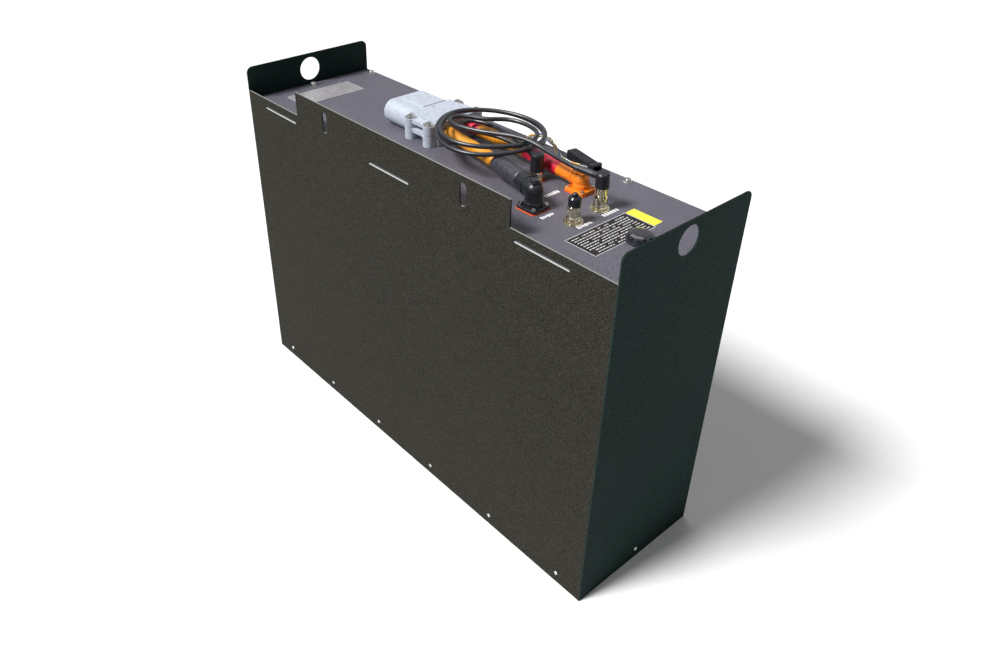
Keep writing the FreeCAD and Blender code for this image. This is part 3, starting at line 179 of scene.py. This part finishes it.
def blendNode(tree, factor, first, second):
    mix = tree.nodes.new("ShaderNodeMix")
    mix.data_type = "RGBA"
    tree.links.new(factor, mix.inputs[0])
    for socket, value in ((mix.inputs[6], first), (mix.inputs[7], second)):
        if isinstance(value, tuple):
            socket.default_value = (*value, 1)
        else:
            tree.links.new(value, socket)
    return mix.outputs[2]


def noiseNode(tree, where, size, detail=3.0):
    noise = tree.nodes.new("ShaderNodeTexNoise")
    noise.inputs["Scale"].default_value = 1 / size
    noise.inputs["Detail"].default_value = detail
    tree.links.new(where, noise.inputs["Vector"])
    return noise.outputs["Fac"]


def rangeNode(tree, value, low, high, start=0.0, end=1.0):
    spread = tree.nodes.new("ShaderNodeMapRange")
    for socket, number in zip(spread.inputs[1:5], (low, high, start, end)):
        socket.default_value = number
    tree.links.new(value, spread.inputs[0])
    return spread.outputs[0]


def mathNode(tree, operation, first, second):
    node = tree.nodes.new("ShaderNodeMath")
    node.operation = operation
    for socket, value in zip(node.inputs, (first, second)):
        if isinstance(value, float):
            socket.default_value = value
        else:
            tree.links.new(value, socket)
    return node.outputs[0]


def axisNode(tree, vector, axis):
    split = tree.nodes.new("ShaderNodeSeparateXYZ")
    tree.links.new(vector, split.inputs[0])
    return split.outputs[axis]


def shade(colour, amount):
    return tuple(max(0.0, part * amount) for part in colour)


def edgeMask(tree, width):
    # 1 where the rounded normal leaves the face's own normal, which is along the edges
    bevel = tree.nodes.new("ShaderNodeBevel")
    bevel.samples = 4
    bevel.inputs["Radius"].default_value = width
    geometry = tree.nodes.new("ShaderNodeNewGeometry")
    facing = tree.nodes.new("ShaderNodeVectorMath")
    facing.operation = "DOT_PRODUCT"
    tree.links.new(bevel.outputs[0], facing.inputs[0])
    tree.links.new(geometry.outputs["Normal"], facing.inputs[1])
    return bevel.outputs[0], rangeNode(tree, facing.outputs["Value"], *finishSetup["edgeSteep"])


def makeFinish(name, look):
    material = bpy.data.materials.new(name)
    material.use_nodes = True
    tree = material.node_tree
    shader = tree.nodes["Principled BSDF"]
    where = tree.nodes.new("ShaderNodeTexCoord").outputs["Object"]
    base = look["colour"]
    wide = noiseNode(tree, where, look.get("mottleSize", finishSetup["mottleSize"]), 4.0)
    mottle = look.get("mottle", finishSetup["mottle"])
    spots = rangeNode(tree, wide, 0.3, 0.7)
    colour = blendNode(tree, spots, shade(base, 1 - mottle), shade(base, 1 + mottle))
    if "fleck" in look:
        fine = noiseNode(tree, where, look["fleckSize"], 1.0)
        start = look["fleckStart"]
        flecked = rangeNode(tree, fine, start, start + finishSetup["fleckSpread"])
        colour = blendNode(tree, flecked, colour, look["fleck"])
    normal = None
    # edges painted lighter: partly edge wear, mostly a painted highlight along the edges
    if "edge" in look:
        normal, wornAndLitEdges = edgeMask(tree, look.get("edgeWidth", finishSetup["edgeWidth"]))
        colour = blendNode(tree, wornAndLitEdges, colour, look["edge"])
    # faces that point one way and sit high on the part (up on the front wall's top, to the front on the lid)
    # get a lighter colour
    if "facingStripColour" in look:
        axis, sign, above = look["facingStripAt"]
        geometry = tree.nodes.new("ShaderNodeNewGeometry")
        facing = mathNode(tree, "MULTIPLY", axisNode(tree, geometry.outputs["Normal"], axis), sign)
        edgeFace = mathNode(tree, "GREATER_THAN", facing, finishSetup["facingStripLimit"])
        high = mathNode(tree, "GREATER_THAN", axisNode(tree, where, "Z"), above)
        facingStrip = mathNode(tree, "MULTIPLY", edgeFace, high)
        colour = blendNode(tree, facingStrip, colour, look["facingStripColour"])
    metal = look.get("metal", 0.0)
    if "cover" in look:
        covered = mathNode(tree, "GREATER_THAN", axisNode(tree, where, "Z"), look["coverAbove"])
        colour = blendNode(tree, covered, colour, look["cover"])
        metal = rangeNode(tree, covered, 0, 1, metal, 0.0)
    # painted shade darkens the rib valleys, and a painted yellow highlight brightens the rib crests
    if "ribPaintedLight" in look:
        rib = tree.nodes.new("ShaderNodeAttribute")
        rib.attribute_name = "ribPaintedLight"
        colour = blendNode(tree, rib.outputs["Fac"], shade(base, finishSetup["valleyShade"]), colour)
        paintedCrestHighlight = rangeNode(tree, rib.outputs["Fac"], finishSetup["crestFrom"], 1.0)
        colour = blendNode(tree, paintedCrestHighlight, colour, look["ribPaintedLight"])
    if "tint" in look:
        tint = tree.nodes.new("ShaderNodeAttribute")
        tint.attribute_name = look["tint"]
        multiply = tree.nodes.new("ShaderNodeMix")
        multiply.data_type = "RGBA"
        multiply.blend_type = "MULTIPLY"
        multiply.inputs[0].default_value = 1
        tree.links.new(colour, multiply.inputs[6])
        tree.links.new(tint.outputs["Color"], multiply.inputs[7])
        colour = multiply.outputs[2]
    tree.links.new(colour, shader.inputs["Base Color"])
    rough, spread = look["rough"], finishSetup["roughSpread"]
    dulled = rangeNode(tree, wide, 0.3, 0.7, rough - spread, rough + spread)
    tree.links.new(dulled, shader.inputs["Roughness"])
    if isinstance(metal, float):
        shader.inputs["Metallic"].default_value = metal
    else:
        tree.links.new(metal, shader.inputs["Metallic"])
    shader.inputs["Specular IOR Level"].default_value = look.get("specular", 0.5)
    shader.inputs["Coat Weight"].default_value = look.get("coat", 0.0)
    if "grain" in look:
        bump = tree.nodes.new("ShaderNodeBump")
        bump.inputs["Strength"].default_value = finishSetup["grainStrength"]
        bump.inputs["Distance"].default_value = look["grainDepth"]
        tree.links.new(noiseNode(tree, where, look["grain"], 2.0), bump.inputs["Height"])
        if normal is not None:
            tree.links.new(normal, bump.inputs["Normal"])
        normal = bump.outputs[0]
    if normal is not None:
        tree.links.new(normal, shader.inputs["Normal"])
    return material


finishes = {
    "caseCoat": {"colour": (0.017, 0.016, 0.012), "rough": 0.68, "mottle": 0.16, "mottleSize": 0.35,
                 "fleck": (0.062, 0.060, 0.050), "fleckSize": 1.7 * mm, "fleckStart": 0.54, "specular": 0.05,
                 "grain": 1.6 * mm, "grainDepth": 0.25 * mm, "facingStripColour": (0.30, 0.30, 0.28),
                 "facingStripAt": ("Z", 1.0, 0.76)},
    "endCoat": {"colour": (0.010, 0.024, 0.021), "rough": 0.68, "mottle": 0.2, "mottleSize": 0.35,
                "fleck": (0.030, 0.044, 0.040), "fleckSize": 1.7 * mm, "fleckStart": 0.56, "specular": 0.05,
                "grain": 1.6 * mm, "grainDepth": 0.15 * mm, "edge": (0.05, 0.06, 0.06)},
    # lid colour: its own dark bluish coat, made several times lighter than the walls' coat as a painted
    # reflection of the sky
    "lidCoatWithPaintedSheen": {"colour": (0.075, 0.070, 0.088), "rough": 0.50, "mottle": 0.18, "mottleSize": 0.12,
                "fleck": (0.27, 0.27, 0.33), "fleckSize": 1.5 * mm, "fleckStart": 0.54, "specular": 0.3,
                "grain": 1.5 * mm, "grainDepth": 0.25 * mm, "facingStripColour": (0.50, 0.50, 0.48),
                "facingStripAt": ("Y", -1.0, 0.7)},
    "zincSteel": {"colour": (0.72, 0.72, 0.70), "rough": 0.24, "metal": 1.0, "mottle": 0.2,
                  "mottleSize": 3 * mm, "edge": (0.9, 0.9, 0.88), "edgeWidth": 0.3 * mm},
    "plateMetal": {"colour": (0.60, 0.58, 0.60), "rough": 0.34, "metal": 0.55, "mottle": 0.08,
                   "mottleSize": 20 * mm, "grain": 0.5 * mm, "grainDepth": 0.02 * mm},
    "platePrint": {"colour": (0.24, 0.23, 0.25), "rough": 0.5, "mottle": 0.1},
    "greyShell": {"colour": (0.50, 0.54, 0.62), "rough": 0.46, "mottle": 0.10, "mottleSize": 10 * mm,
                  "fleck": (0.34, 0.37, 0.44), "fleckSize": 2.2 * mm, "fleckStart": 0.6,
                  "grain": 0.8 * mm, "grainDepth": 0.08 * mm, "edge": (0.78, 0.82, 0.90),
                  "edgeWidth": 0.9 * mm},
    "blackPlastic": {"colour": (0.013, 0.014, 0.019), "rough": 0.34, "mottle": 0.25, "mottleSize": 8 * mm,
                     "grain": 0.5 * mm, "grainDepth": 0.05 * mm, "edge": (0.10, 0.105, 0.125),
                     "edgeWidth": 0.8 * mm},
    "cappedNickel": {"colour": (0.74, 0.68, 0.50), "rough": 0.20, "metal": 1.0, "mottle": 0.2,
                     "mottleSize": 4 * mm, "edge": (0.95, 0.90, 0.76), "edgeWidth": 0.4 * mm,
                     "cover": (0.014, 0.015, 0.020), "coverAbove": lidTop + 33.4 * mm},
    "glossBlack": {"colour": (0.012, 0.013, 0.020), "rough": 0.12, "mottle": 0.1, "coat": 1.0,
                   "edge": (0.10, 0.11, 0.13), "edgeWidth": 0.8 * mm},
    "orangePlastic": {"colour": (0.92, 0.235, 0.010), "rough": 0.40, "mottle": 0.14, "mottleSize": 7 * mm,
                      "grain": 0.6 * mm, "grainDepth": 0.05 * mm, "edge": (1.0, 0.50, 0.08),
                      "edgeWidth": 0.9 * mm},
    # the conduit's yellow rib colour is a painted highlight on the crests
    "orangeConduit": {"colour": (1.0, 0.33, 0.010), "rough": 0.36, "mottle": 0.12,
                      "mottleSize": 10 * mm, "specular": 0.8, "ribPaintedLight": (1.0, 0.55, 0.05)},
    "redSleeve": {"colour": (0.70, 0.010, 0.050), "rough": 0.38, "mottle": 0.15, "mottleSize": 6 * mm,
                  "grain": 2.5 * mm, "grainDepth": 0.2 * mm, "specular": 0.7},
    "shrinkBlack": {"colour": (0.030, 0.028, 0.040), "rough": 0.42, "mottle": 0.35, "mottleSize": 4 * mm,
                    "fleck": (0.09, 0.085, 0.11), "fleckSize": 1.8 * mm, "fleckStart": 0.58,
                    "grain": 1.6 * mm, "grainDepth": 0.35 * mm, "specular": 0.8},
    "cordJacket": {"colour": (0.016, 0.017, 0.024), "rough": 0.38, "mottle": 0.15, "mottleSize": 15 * mm,
                   "grain": 0.5 * mm, "grainDepth": 0.02 * mm, "specular": 0.8},
    "nickelShell": {"colour": (0.80, 0.73, 0.52), "rough": 0.16, "metal": 1.0, "mottle": 0.25,
                    "mottleSize": 4 * mm, "edge": (0.98, 0.93, 0.78), "edgeWidth": 0.4 * mm},
    "gasketOrange": {"colour": (0.90, 0.11, 0.01), "rough": 0.6, "mottle": 0.1},
    "grommetBlack": {"colour": (0.02, 0.02, 0.02), "rough": 0.55, "mottle": 0.1},
    "copperBar": {"colour": (0.80, 0.42, 0.24), "rough": 0.3, "metal": 1.0, "mottle": 0.1},
    "silverContact": {"colour": (0.78, 0.76, 0.70), "rough": 0.22, "metal": 1.0, "mottle": 0.1},
    "cellFilm": {"colour": (0.04, 0.12, 0.36), "rough": 0.3, "mottle": 0.08},
    "ballastSteel": {"colour": (0.08, 0.075, 0.07), "rough": 0.55, "metal": 0.8, "mottle": 0.3},
    "foamBlack": {"colour": (0.03, 0.03, 0.03), "rough": 0.9, "mottle": 0.2, "grain": 1.2 * mm,
                  "grainDepth": 0.3 * mm},
    "wireJacket": {"colour": (0.95, 0.95, 0.95), "rough": 0.4, "mottle": 0.05, "tint": "wireTint"},
    "printWhite": {"colour": (0.85, 0.85, 0.86), "rough": 0.5, "mottle": 0.06, "mottleSize": 3 * mm},
    "labelDark": {"colour": (0.020, 0.016, 0.016), "rough": 0.45, "mottle": 0.2, "mottleSize": 6 * mm,
                  "specular": 0.2},
    "labelYellow": {"colour": (0.93, 0.84, 0.06), "rough": 0.42, "mottle": 0.05, "mottleSize": 8 * mm},
}
materials = {name: makeFinish(name, look) for name, look in finishes.items()}

nodeFinishes = {
    "caseCoat": ["front_wall"],
    "endCoat": ["left_end_wall", "right_end_wall", "back_wall", "bottom_pan", "lid_rails"],
    "lidCoatWithPaintedSheen": ["lid"],
    "zincSteel": ["bottom_screws", "lid_bolts", "lid_washers", "clamp_bolts", "flange_screws",
                  "electronics_panel"],
    "plateMetal": ["name_plate", "stack_end_plates", "stack_shelves"],
    "greyShell": ["connector_nose", "connector_clamp_lower", "connector_clamp_upper", "main_fuse"],
    "blackPlastic": ["negative_plug", "negative_button", "negative_flange", "plug_a", "plug_c",
                     "signal_housing", "management_unit", "main_contactor"],
    "cappedNickel": ["cap_b"],
    "glossBlack": ["vent_base", "vent_cap"],
    "orangePlastic": ["positive_plug", "positive_button", "positive_flange"],
    "orangeConduit": ["negative_conduit", "positive_conduit"],
    "redSleeve": ["positive_rear_sleeve", "positive_front_sleeve"],
    "shrinkBlack": ["negative_shrink"],
    "cordJacket": ["relief_c", "cord_coil", "cord_to_a", "cord_to_c"],
    "nickelShell": ["socket_a", "socket_b", "socket_c", "socket_nuts", "ring_a", "ring_c", "plug_c_neck"],
    "gasketOrange": ["flange_gaskets"],
    "grommetBlack": ["harness_grommet"],
    "copperBar": ["cell_links", "inner_bars"],
    "silverContact": ["power_contacts"],
    "cellFilm": ["cells_lower", "cells_upper"],
    "ballastSteel": ["ballast_plates"],
    "foamBlack": ["base_pad"],
    "wireJacket": ["harness_bundle"],
}
for finishName, nodeNames in nodeFinishes.items():
    for nodeName in nodeNames:
        for slot in nodes[nodeName].material_slots:
            slot.material = materials[finishName]
print("finishes done", len(materials))


def aboveLid(points):
    # millimetres with their height above the lid, to metres in the part's frame
    return np.asarray(points, float) * mm + (0, 0, lidTop)


# Signal cord: out of the tall plug, across and round in loose turns, and back to the short plug
cordSetup = {
    "diameter": 9.5 * mm,
    "length": 2.43,
    "fromTallPlug": [(298.8, 27.4, 64), (268, 29.5, 64.6), (237, 33, 66.5), (203, 35.5, 69.5),
                     (170, 32.5, 75), (136, 25.5, 75), (104, 12, 73.5), (74, -3, 72.5), (44, -14, 72),
                     (14, -20, 71.5), (-9, -17.5, 71), (-28, -5, 70.5), (-32, 17, 70), (-14, 36, 69.5)],
    "middle": (50, 40),
    # turns laid since the left side, distance from the middle, level
    "stations": [(0.03, 38, 69.5), (0.12, 27, 68.5), (0.25, 54, 67.5), (0.33, 75, 66.5), (0.42, 108, 65.5),
                 (0.5, 117.5, 65), (0.6, 107, 65.5), (0.72, 118.5, 66.5), (0.8, 114, 67), (0.9, 101, 68),
                 (1.0, 111, 68), (1.1, 94, 66), (1.2, 92, 63.5), (1.3, 105, 61), (1.4, 121, 59.5),
                 (1.52, 128.5, 59), (1.6, 126, 57.5), (1.68, 133, 55.5), (1.77, 124, 56.5), (1.86, 110, 58.5),
                 (1.95, 122, 59.6), (2.02, 131, 59.6), (2.1, 119, 57.5), (2.2, 114, 54), (2.3, 113.5, 50.5),
                 (2.42, 120, 48.5)],
    "pointsPerTurn": 12,
    "steps": (1, 29),
    "toShortPlug": [(157, 68, 47.5), (140, 50, 47.2), (112, 46.5, 47.2), (80, 45, 48.5), (50, 36, 50),
                    (20, 21, 50.5), (-10, 13, 50.5), (-33, 30, 50.5), (-31, 56, 50.5), (-6, 69, 50.5),
                    (24, 71, 50.5), (54, 67, 52), (84, 59, 55), (112, 50.5, 57.5), (138, 42.5, 55.5),
                    (160, 37.2, 51.2), (169.5, 35.2, 50.2), (177.6, 33.8, 50)],
}


def coilPoints(setup):
    # point = middle + distance * (-cos(angle), sin(angle)), with distance and level read between stations
    first, last = setup["steps"]
    turns = np.arange(first, last + 1) / setup["pointsPerTurn"]
    laid, distances, levels = np.array(setup["stations"], float).T
    distance = np.interp(turns, laid, distances)
    angle = 2 * np.pi * turns
    x, y = setup["middle"]
    return np.stack([x - distance * np.cos(angle), y + distance * np.sin(angle),
                     np.interp(turns, laid, levels)], axis=1)


def makeSignalCord(setup):
    points = aboveLid(np.concatenate([setup["fromTallPlug"], coilPoints(setup), setup["toShortPlug"]]))
    curve = bpy.data.curves.new("signalCord", "CURVE")
    curve.dimensions = "3D"
    curve.bevel_depth = setup["diameter"] / 2
    curve.bevel_resolution = 5
    curve.use_fill_caps = True
    spline = curve.splines.new("NURBS")
    spline.points.add(len(points) - 1)
    spline.points.foreach_set("co", np.c_[points, np.ones(len(points))].ravel())
    spline.order_u = 3
    spline.use_endpoint_u = True
    spline.resolution_u = 8
    curve.materials.append(materials["cordJacket"])
    cord = bpy.data.objects.new("signalCord", curve)
    bpy.context.collection.objects.link(cord)
    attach(cord, "case")
    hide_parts("cord_coil", "cord_to_a", "cord_to_c")


makeSignalCord(cordSetup)
print("signal cord done")


# Power leads: ribbed conduits with smooth sleeves at their ends
leadSetup = {
    "sides": 40,
    "conduitRadius": 14 * mm,
    "ribPitch": 4.2 * mm,
    "ribDepth": 1.8 * mm,
    "ribShape": 1.4,
    "ringsPerRib": 8,
    "rimRun": 4 * mm,
    "creaseDepth": 0.25 * mm,
    # radius, radius at the rim, creases
    "shrink": (18 * mm, 15 * mm, 420),
    "sleeve": (14.75 * mm, 14.1 * mm, 260),
    "negativeConduit": [(-54, 12, 27), (-14, 6.5, 27.5), (36, -1.5, 28.5), (89, -12, 31), (142, -25, 34)],
    "negativeShrink": [(142, -25, 34), (175, -34.3, 36.3), (207, -43, 38), (237.6, -51.1, 39)],
    "rearSleeve": [(-54, 74, 27), (-14, 73.6, 27)],
    "positiveConduit": [(-14, 73.6, 27), (28, 73.4, 26.7), (78, 72.8, 26.3), (129, 71.3, 26)],
    "frontSleeve": [(129, 71.3, 26), (163, 69.6, 25), (197, 67.5, 24.3), (229.1, 65.3, 24)],
}


def ribbedTube(name, points, setup, node):
    # radius falls by the rib depth between crests: r - depth * (0.5 - 0.5 cos(2 pi s / pitch)) ^ shape
    length = np.linalg.norm(np.diff(points, axis=0), axis=1).sum()
    line = routeLine(name, points, int(length / setup["ribPitch"] * setup["ringsPerRib"]) + 1)
    travel = np.linspace(0, length, len(line))
    dip = (0.5 - 0.5 * np.cos(2 * np.pi * travel / setup["ribPitch"])) ** setup["ribShape"]
    piece = sweepPiece(name, line, setup["conduitRadius"] - setup["ribDepth"] * dip, setup["sides"],
                       materials["orangeConduit"])
    # 1 on the rib crests and 0 in the valleys: this steers the painted rib shade and painted crest highlight
    ribPaintedLight = np.repeat(np.r_[0, 1 - dip, 0], setup["sides"])
    piece.data.attributes.new("ribPaintedLight", "FLOAT", "POINT").data.foreach_set("value", ribPaintedLight)
    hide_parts(node)


def sleeveTube(name, points, setup, form, finish, node):
    # a smooth tube that narrows over its last few millimetres, with shallow creases across it
    radius, rimRadius, creases = form
    depth = setup["creaseDepth"]
    length = np.linalg.norm(np.diff(points, axis=0), axis=1).sum()
    line = routeLine(name, points, 90)
    travel = np.linspace(0, length, len(line))[:, None]
    angle = np.linspace(0, 2 * np.pi, setup["sides"], endpoint=False)[None]
    ends = np.clip(np.minimum(travel, length - travel) / setup["rimRun"], 0, 1) ** 0.5
    crease = np.cos(travel * creases + 2.1 * np.sin(angle * 2 + 1.3))
    crease = crease * np.cos(travel * creases * 0.37 + angle)
    radii = rimRadius + (radius - depth - rimRadius) * ends + depth * crease * ends
    piece = sweepPiece(name, line, radii, setup["sides"], materials[finish])
    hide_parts(node)


def makeLeads(setup):
    for name, node in (("negativeConduit", "negative_conduit"), ("positiveConduit", "positive_conduit")):
        ribbedTube(name, aboveLid(setup[name]), setup, node)
    sleeveTube("negativeShrink", aboveLid(setup["negativeShrink"]), setup, setup["shrink"], "shrinkBlack",
               "negative_shrink")
    for name, node in (("rearSleeve", "positive_rear_sleeve"), ("frontSleeve", "positive_front_sleeve")):
        sleeveTube(name, aboveLid(setup[name]), setup, setup["sleeve"], "redSleeve", node)


makeLeads(leadSetup)
print("leads done")


# Harness: thin wires in a loose lay from the grommet to the housing
harnessSetup = {
    "route": [(62, 128, -5), (62, 128, 14), (74, 144, 27), (97, 158, 28), (124, 155, 21), (148, 143, 14),
              (171, 132, 9.5), (196, 127.5, 7.6), (222.1, 135.4, 7.5)],
    "wireRadius": 1.15 * mm,
    "bundleRadius": 2.9 * mm,
    "looseness": 0.55,
    "wireSides": 8,
    "twists": 2.6,
    "tints": [(0.85, 0.85, 0.82), (0.85, 0.85, 0.82), (0.85, 0.74, 0.16), (0.80, 0.80, 0.76),
              (0.05, 0.12, 0.62), (0.82, 0.72, 0.20), (0.80, 0.30, 0.05)],
}


def makeHarness(setup):
    # wire centre = line + (bundle radius * swell) * (cos(phase) * across + sin(phase) * aside)
    line = routeLine("harnessRoute", aboveLid(setup["route"]), 160)
    across, aside = lineFrames(line)
    share = np.linspace(0, 1, len(line))[:, None]
    sides = setup["wireSides"]
    points, faces, tints = [], [], []
    total = 0
    for index, tint in enumerate(setup["tints"]):
        phase = 2 * np.pi * (index / (len(setup["tints"]) - 1) + setup["twists"] * share)
        swell = 1 + setup["looseness"] * np.sin(np.pi * share) ** 2 * math.sin(1.7 * index + 0.6)
        offset = 0.0 if index == 0 else setup["bundleRadius"]
        centre = line + offset * swell * (np.cos(phase) * across + np.sin(phase) * aside)
        grid = sweepGrid(centre, np.full(len(line), setup["wireRadius"]), sides).reshape(-1, 3)
        points.append(grid)
        faces.append(gridFaces(len(grid) // sides, sides, total)[:, ::-1])
        tints.append(np.tile((*tint, 1.0), (len(grid), 1)))
        total += len(grid)
    piece = addPiece("harnessWires", np.concatenate(points), np.concatenate(faces),
                     materials["wireJacket"])
    layer = piece.data.color_attributes.new("wireTint", "FLOAT_COLOR", "POINT")
    layer.data.foreach_set("color", np.concatenate(tints).ravel())
    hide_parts("harness_bundle")


makeHarness(harnessSetup)
print("harness done")


# Printed marks on the lid: plain bars, places from the case's front left corner in millimetres
markSetup = {
    "corner": (-584, -176.5),
    "thick": 0.12 * mm,
    "panel": {"x": (990, 1061), "y": (69, 231), "rows": 9, "dash": 4.2, "gap": 2.0},
    "sticker": {"x": (990, 1057), "y": (233, 258)},
    "borderStep": 4.4,
    # middle, width and length of each tag, and the bars in it
    "tags": [(846, 185, 10, 40), (904, 112, 9, 34), (973, 138, 9, 38), (971, 212, 9, 44)],
    "tagBars": 6,
    "plate": {"x": (51, 128), "y": (73, 254), "rows": 8, "dash": 9, "gap": 5},
}


def markRows(low, high, lines, dash, gap, seed):
    # dashes of uneven length along y, in rows spaced along x
    chance = np.random.default_rng(seed)
    bars = []
    for x in lines:
        y = low
        while y < high - dash:
            length = dash * chance.uniform(0.5, 1.9)
            if chance.random() > 0.12:
                bars.append((x, min(y + length / 2, high - length / 2), 0.9, length / 2))
            y += length + gap
    return bars


def wholeBar(area):
    # one bar that fills a rectangle: its middle and half sizes
    (x0, x1), (y0, y1) = area["x"], area["y"]
    return (x0 + x1) / 2, (y0 + y1) / 2, (x1 - x0) / 2, (y1 - y0) / 2


def makeMarks(setup):
    corner = np.array(setup["corner"])

    def place(name, bars, level, finish):
        bars = np.array(bars, float)
        bars[:, :2] += corner
        boxMarks(name, bars * mm, level, setup["thick"], materials[finish])

    panel = setup["panel"]
    (x0, x1), (y0, y1) = panel["x"], panel["y"]
    lines = np.linspace(x0 + 8, x1 - 7, panel["rows"])
    bars = markRows(y0 + 8, y1 - 7, lines, panel["dash"], panel["gap"], 5)
    for y in np.arange(y0, y1, setup["borderStep"]):
        bars += [(x0, y, 0.8, 1.3), (x1, y, 0.8, 1.3)]
    for x in np.arange(x0, x1 + 1, setup["borderStep"]):
        bars += [(x, y0, 1.3, 0.8), (x, y1, 1.3, 0.8)]
    place("lidPanelLabel", [wholeBar(panel)], lidTop, "labelDark")
    place("lidPanelPrint", bars, lidTop + setup["thick"], "printWhite")
    tagBars = []
    count = setup["tagBars"]
    for index, (x, y, wide, long) in enumerate(setup["tags"]):
        for step in range(count):
            reach = wide / 2 - 0.8 * ((step * index) % 3)
            along = y + (step - (count - 1) / 2) * long / count
            tagBars.append((x + (step % 2) * 0.5, along, reach, long / 17))
    place("lidTagPrint", tagBars, lidTop, "printWhite")
    place("lidSticker", [wholeBar(setup["sticker"])], lidTop, "labelYellow")
    plate = setup["plate"]
    (x0, x1), (y0, y1) = plate["x"], plate["y"]
    lines = np.linspace(x0 + 10, x1 - 10, plate["rows"])
    bars = markRows(y0 + 8, y1 - 8, lines, plate["dash"], plate["gap"], 8)
    place("platePrint", bars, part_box("name_plate")[1][2], "platePrint")


makeMarks(markSetup)
print("marks done")


# Floor, backdrop and lights
stageSetup = {
    "floorSize": 40,
    "floorColour": (0.86, 0.86, 0.86),
    "floorGlow": 0.05,
    "world": 0.13,
    "worldInGloss": 0.3,
    "lamps": [
        {"name": "keyLight", "kind": "SUN", "place": (-1.2, -3.6, 4.7), "aim": (0, 0, 0.3),
         "size": 0.30, "power": 4.6},
        {"name": "topLight", "kind": "AREA", "place": (-0.7, 0.8, 3.2), "aim": (0, 0, 0.7),
         "size": 1.6, "power": 14},
    ],
}


def makeStage(setup):
    half = setup["floorSize"] / 2
    mesh = bpy.data.meshes.new("floor")
    mesh.from_pydata([(-half, -half, 0), (half, -half, 0), (half, half, 0), (-half, half, 0)], [],
                     [(0, 1, 2, 3)])
    floor = bpy.data.objects.new("floor", mesh)
    bpy.context.collection.objects.link(floor)
    material = bpy.data.materials.new("floorPaper")
    material.use_nodes = True
    tree = material.node_tree
    shader = tree.nodes["Principled BSDF"]
    shader.inputs["Base Color"].default_value = (*setup["floorColour"], 1)
    shader.inputs["Roughness"].default_value = 0.9
    shader.inputs["Specular IOR Level"].default_value = 0.1
    glow = tree.nodes.new("ShaderNodeEmission")
    rays = tree.nodes.new("ShaderNodeLightPath")
    tree.links.new(rangeNode(tree, rays.outputs["Is Camera Ray"], 0, 1, 0, setup["floorGlow"]),
                   glow.inputs["Strength"])
    both = tree.nodes.new("ShaderNodeAddShader")
    tree.links.new(shader.outputs[0], both.inputs[0])
    tree.links.new(glow.outputs[0], both.inputs[1])
    tree.links.new(both.outputs[0], tree.nodes["Material Output"].inputs["Surface"])
    mesh.materials.append(material)

    world = bpy.data.worlds.new("studio")
    world.use_nodes = True
    tree = world.node_tree
    background = tree.nodes["Background"]
    background.inputs["Color"].default_value = (1, 1, 1, 1)
    rays = tree.nodes.new("ShaderNodeLightPath")
    seen = mathNode(tree, "MAXIMUM", rays.outputs["Is Camera Ray"],
                    rangeNode(tree, rays.outputs["Is Glossy Ray"], 0, 1, 0, setup["worldInGloss"]))
    tree.links.new(rangeNode(tree, seen, 0, 1, setup["world"], 1), background.inputs["Strength"])
    bpy.context.scene.world = world

    for lamp in setup["lamps"]:
        data = bpy.data.lights.new(lamp["name"], lamp["kind"])
        if lamp["kind"] == "SUN":
            data.angle = lamp["size"]
        else:
            data.size = lamp["size"]
        data.energy = lamp["power"]
        light = bpy.data.objects.new(lamp["name"], data)
        light.location = lamp["place"]
        aim = Vector(lamp["aim"]) - Vector(lamp["place"])
        light.rotation_euler = aim.to_track_quat("-Z", "Y").to_euler()
        bpy.context.collection.objects.link(light)


makeStage(stageSetup)
bpy.context.scene.view_settings.view_transform = "Standard"
print("stage done")
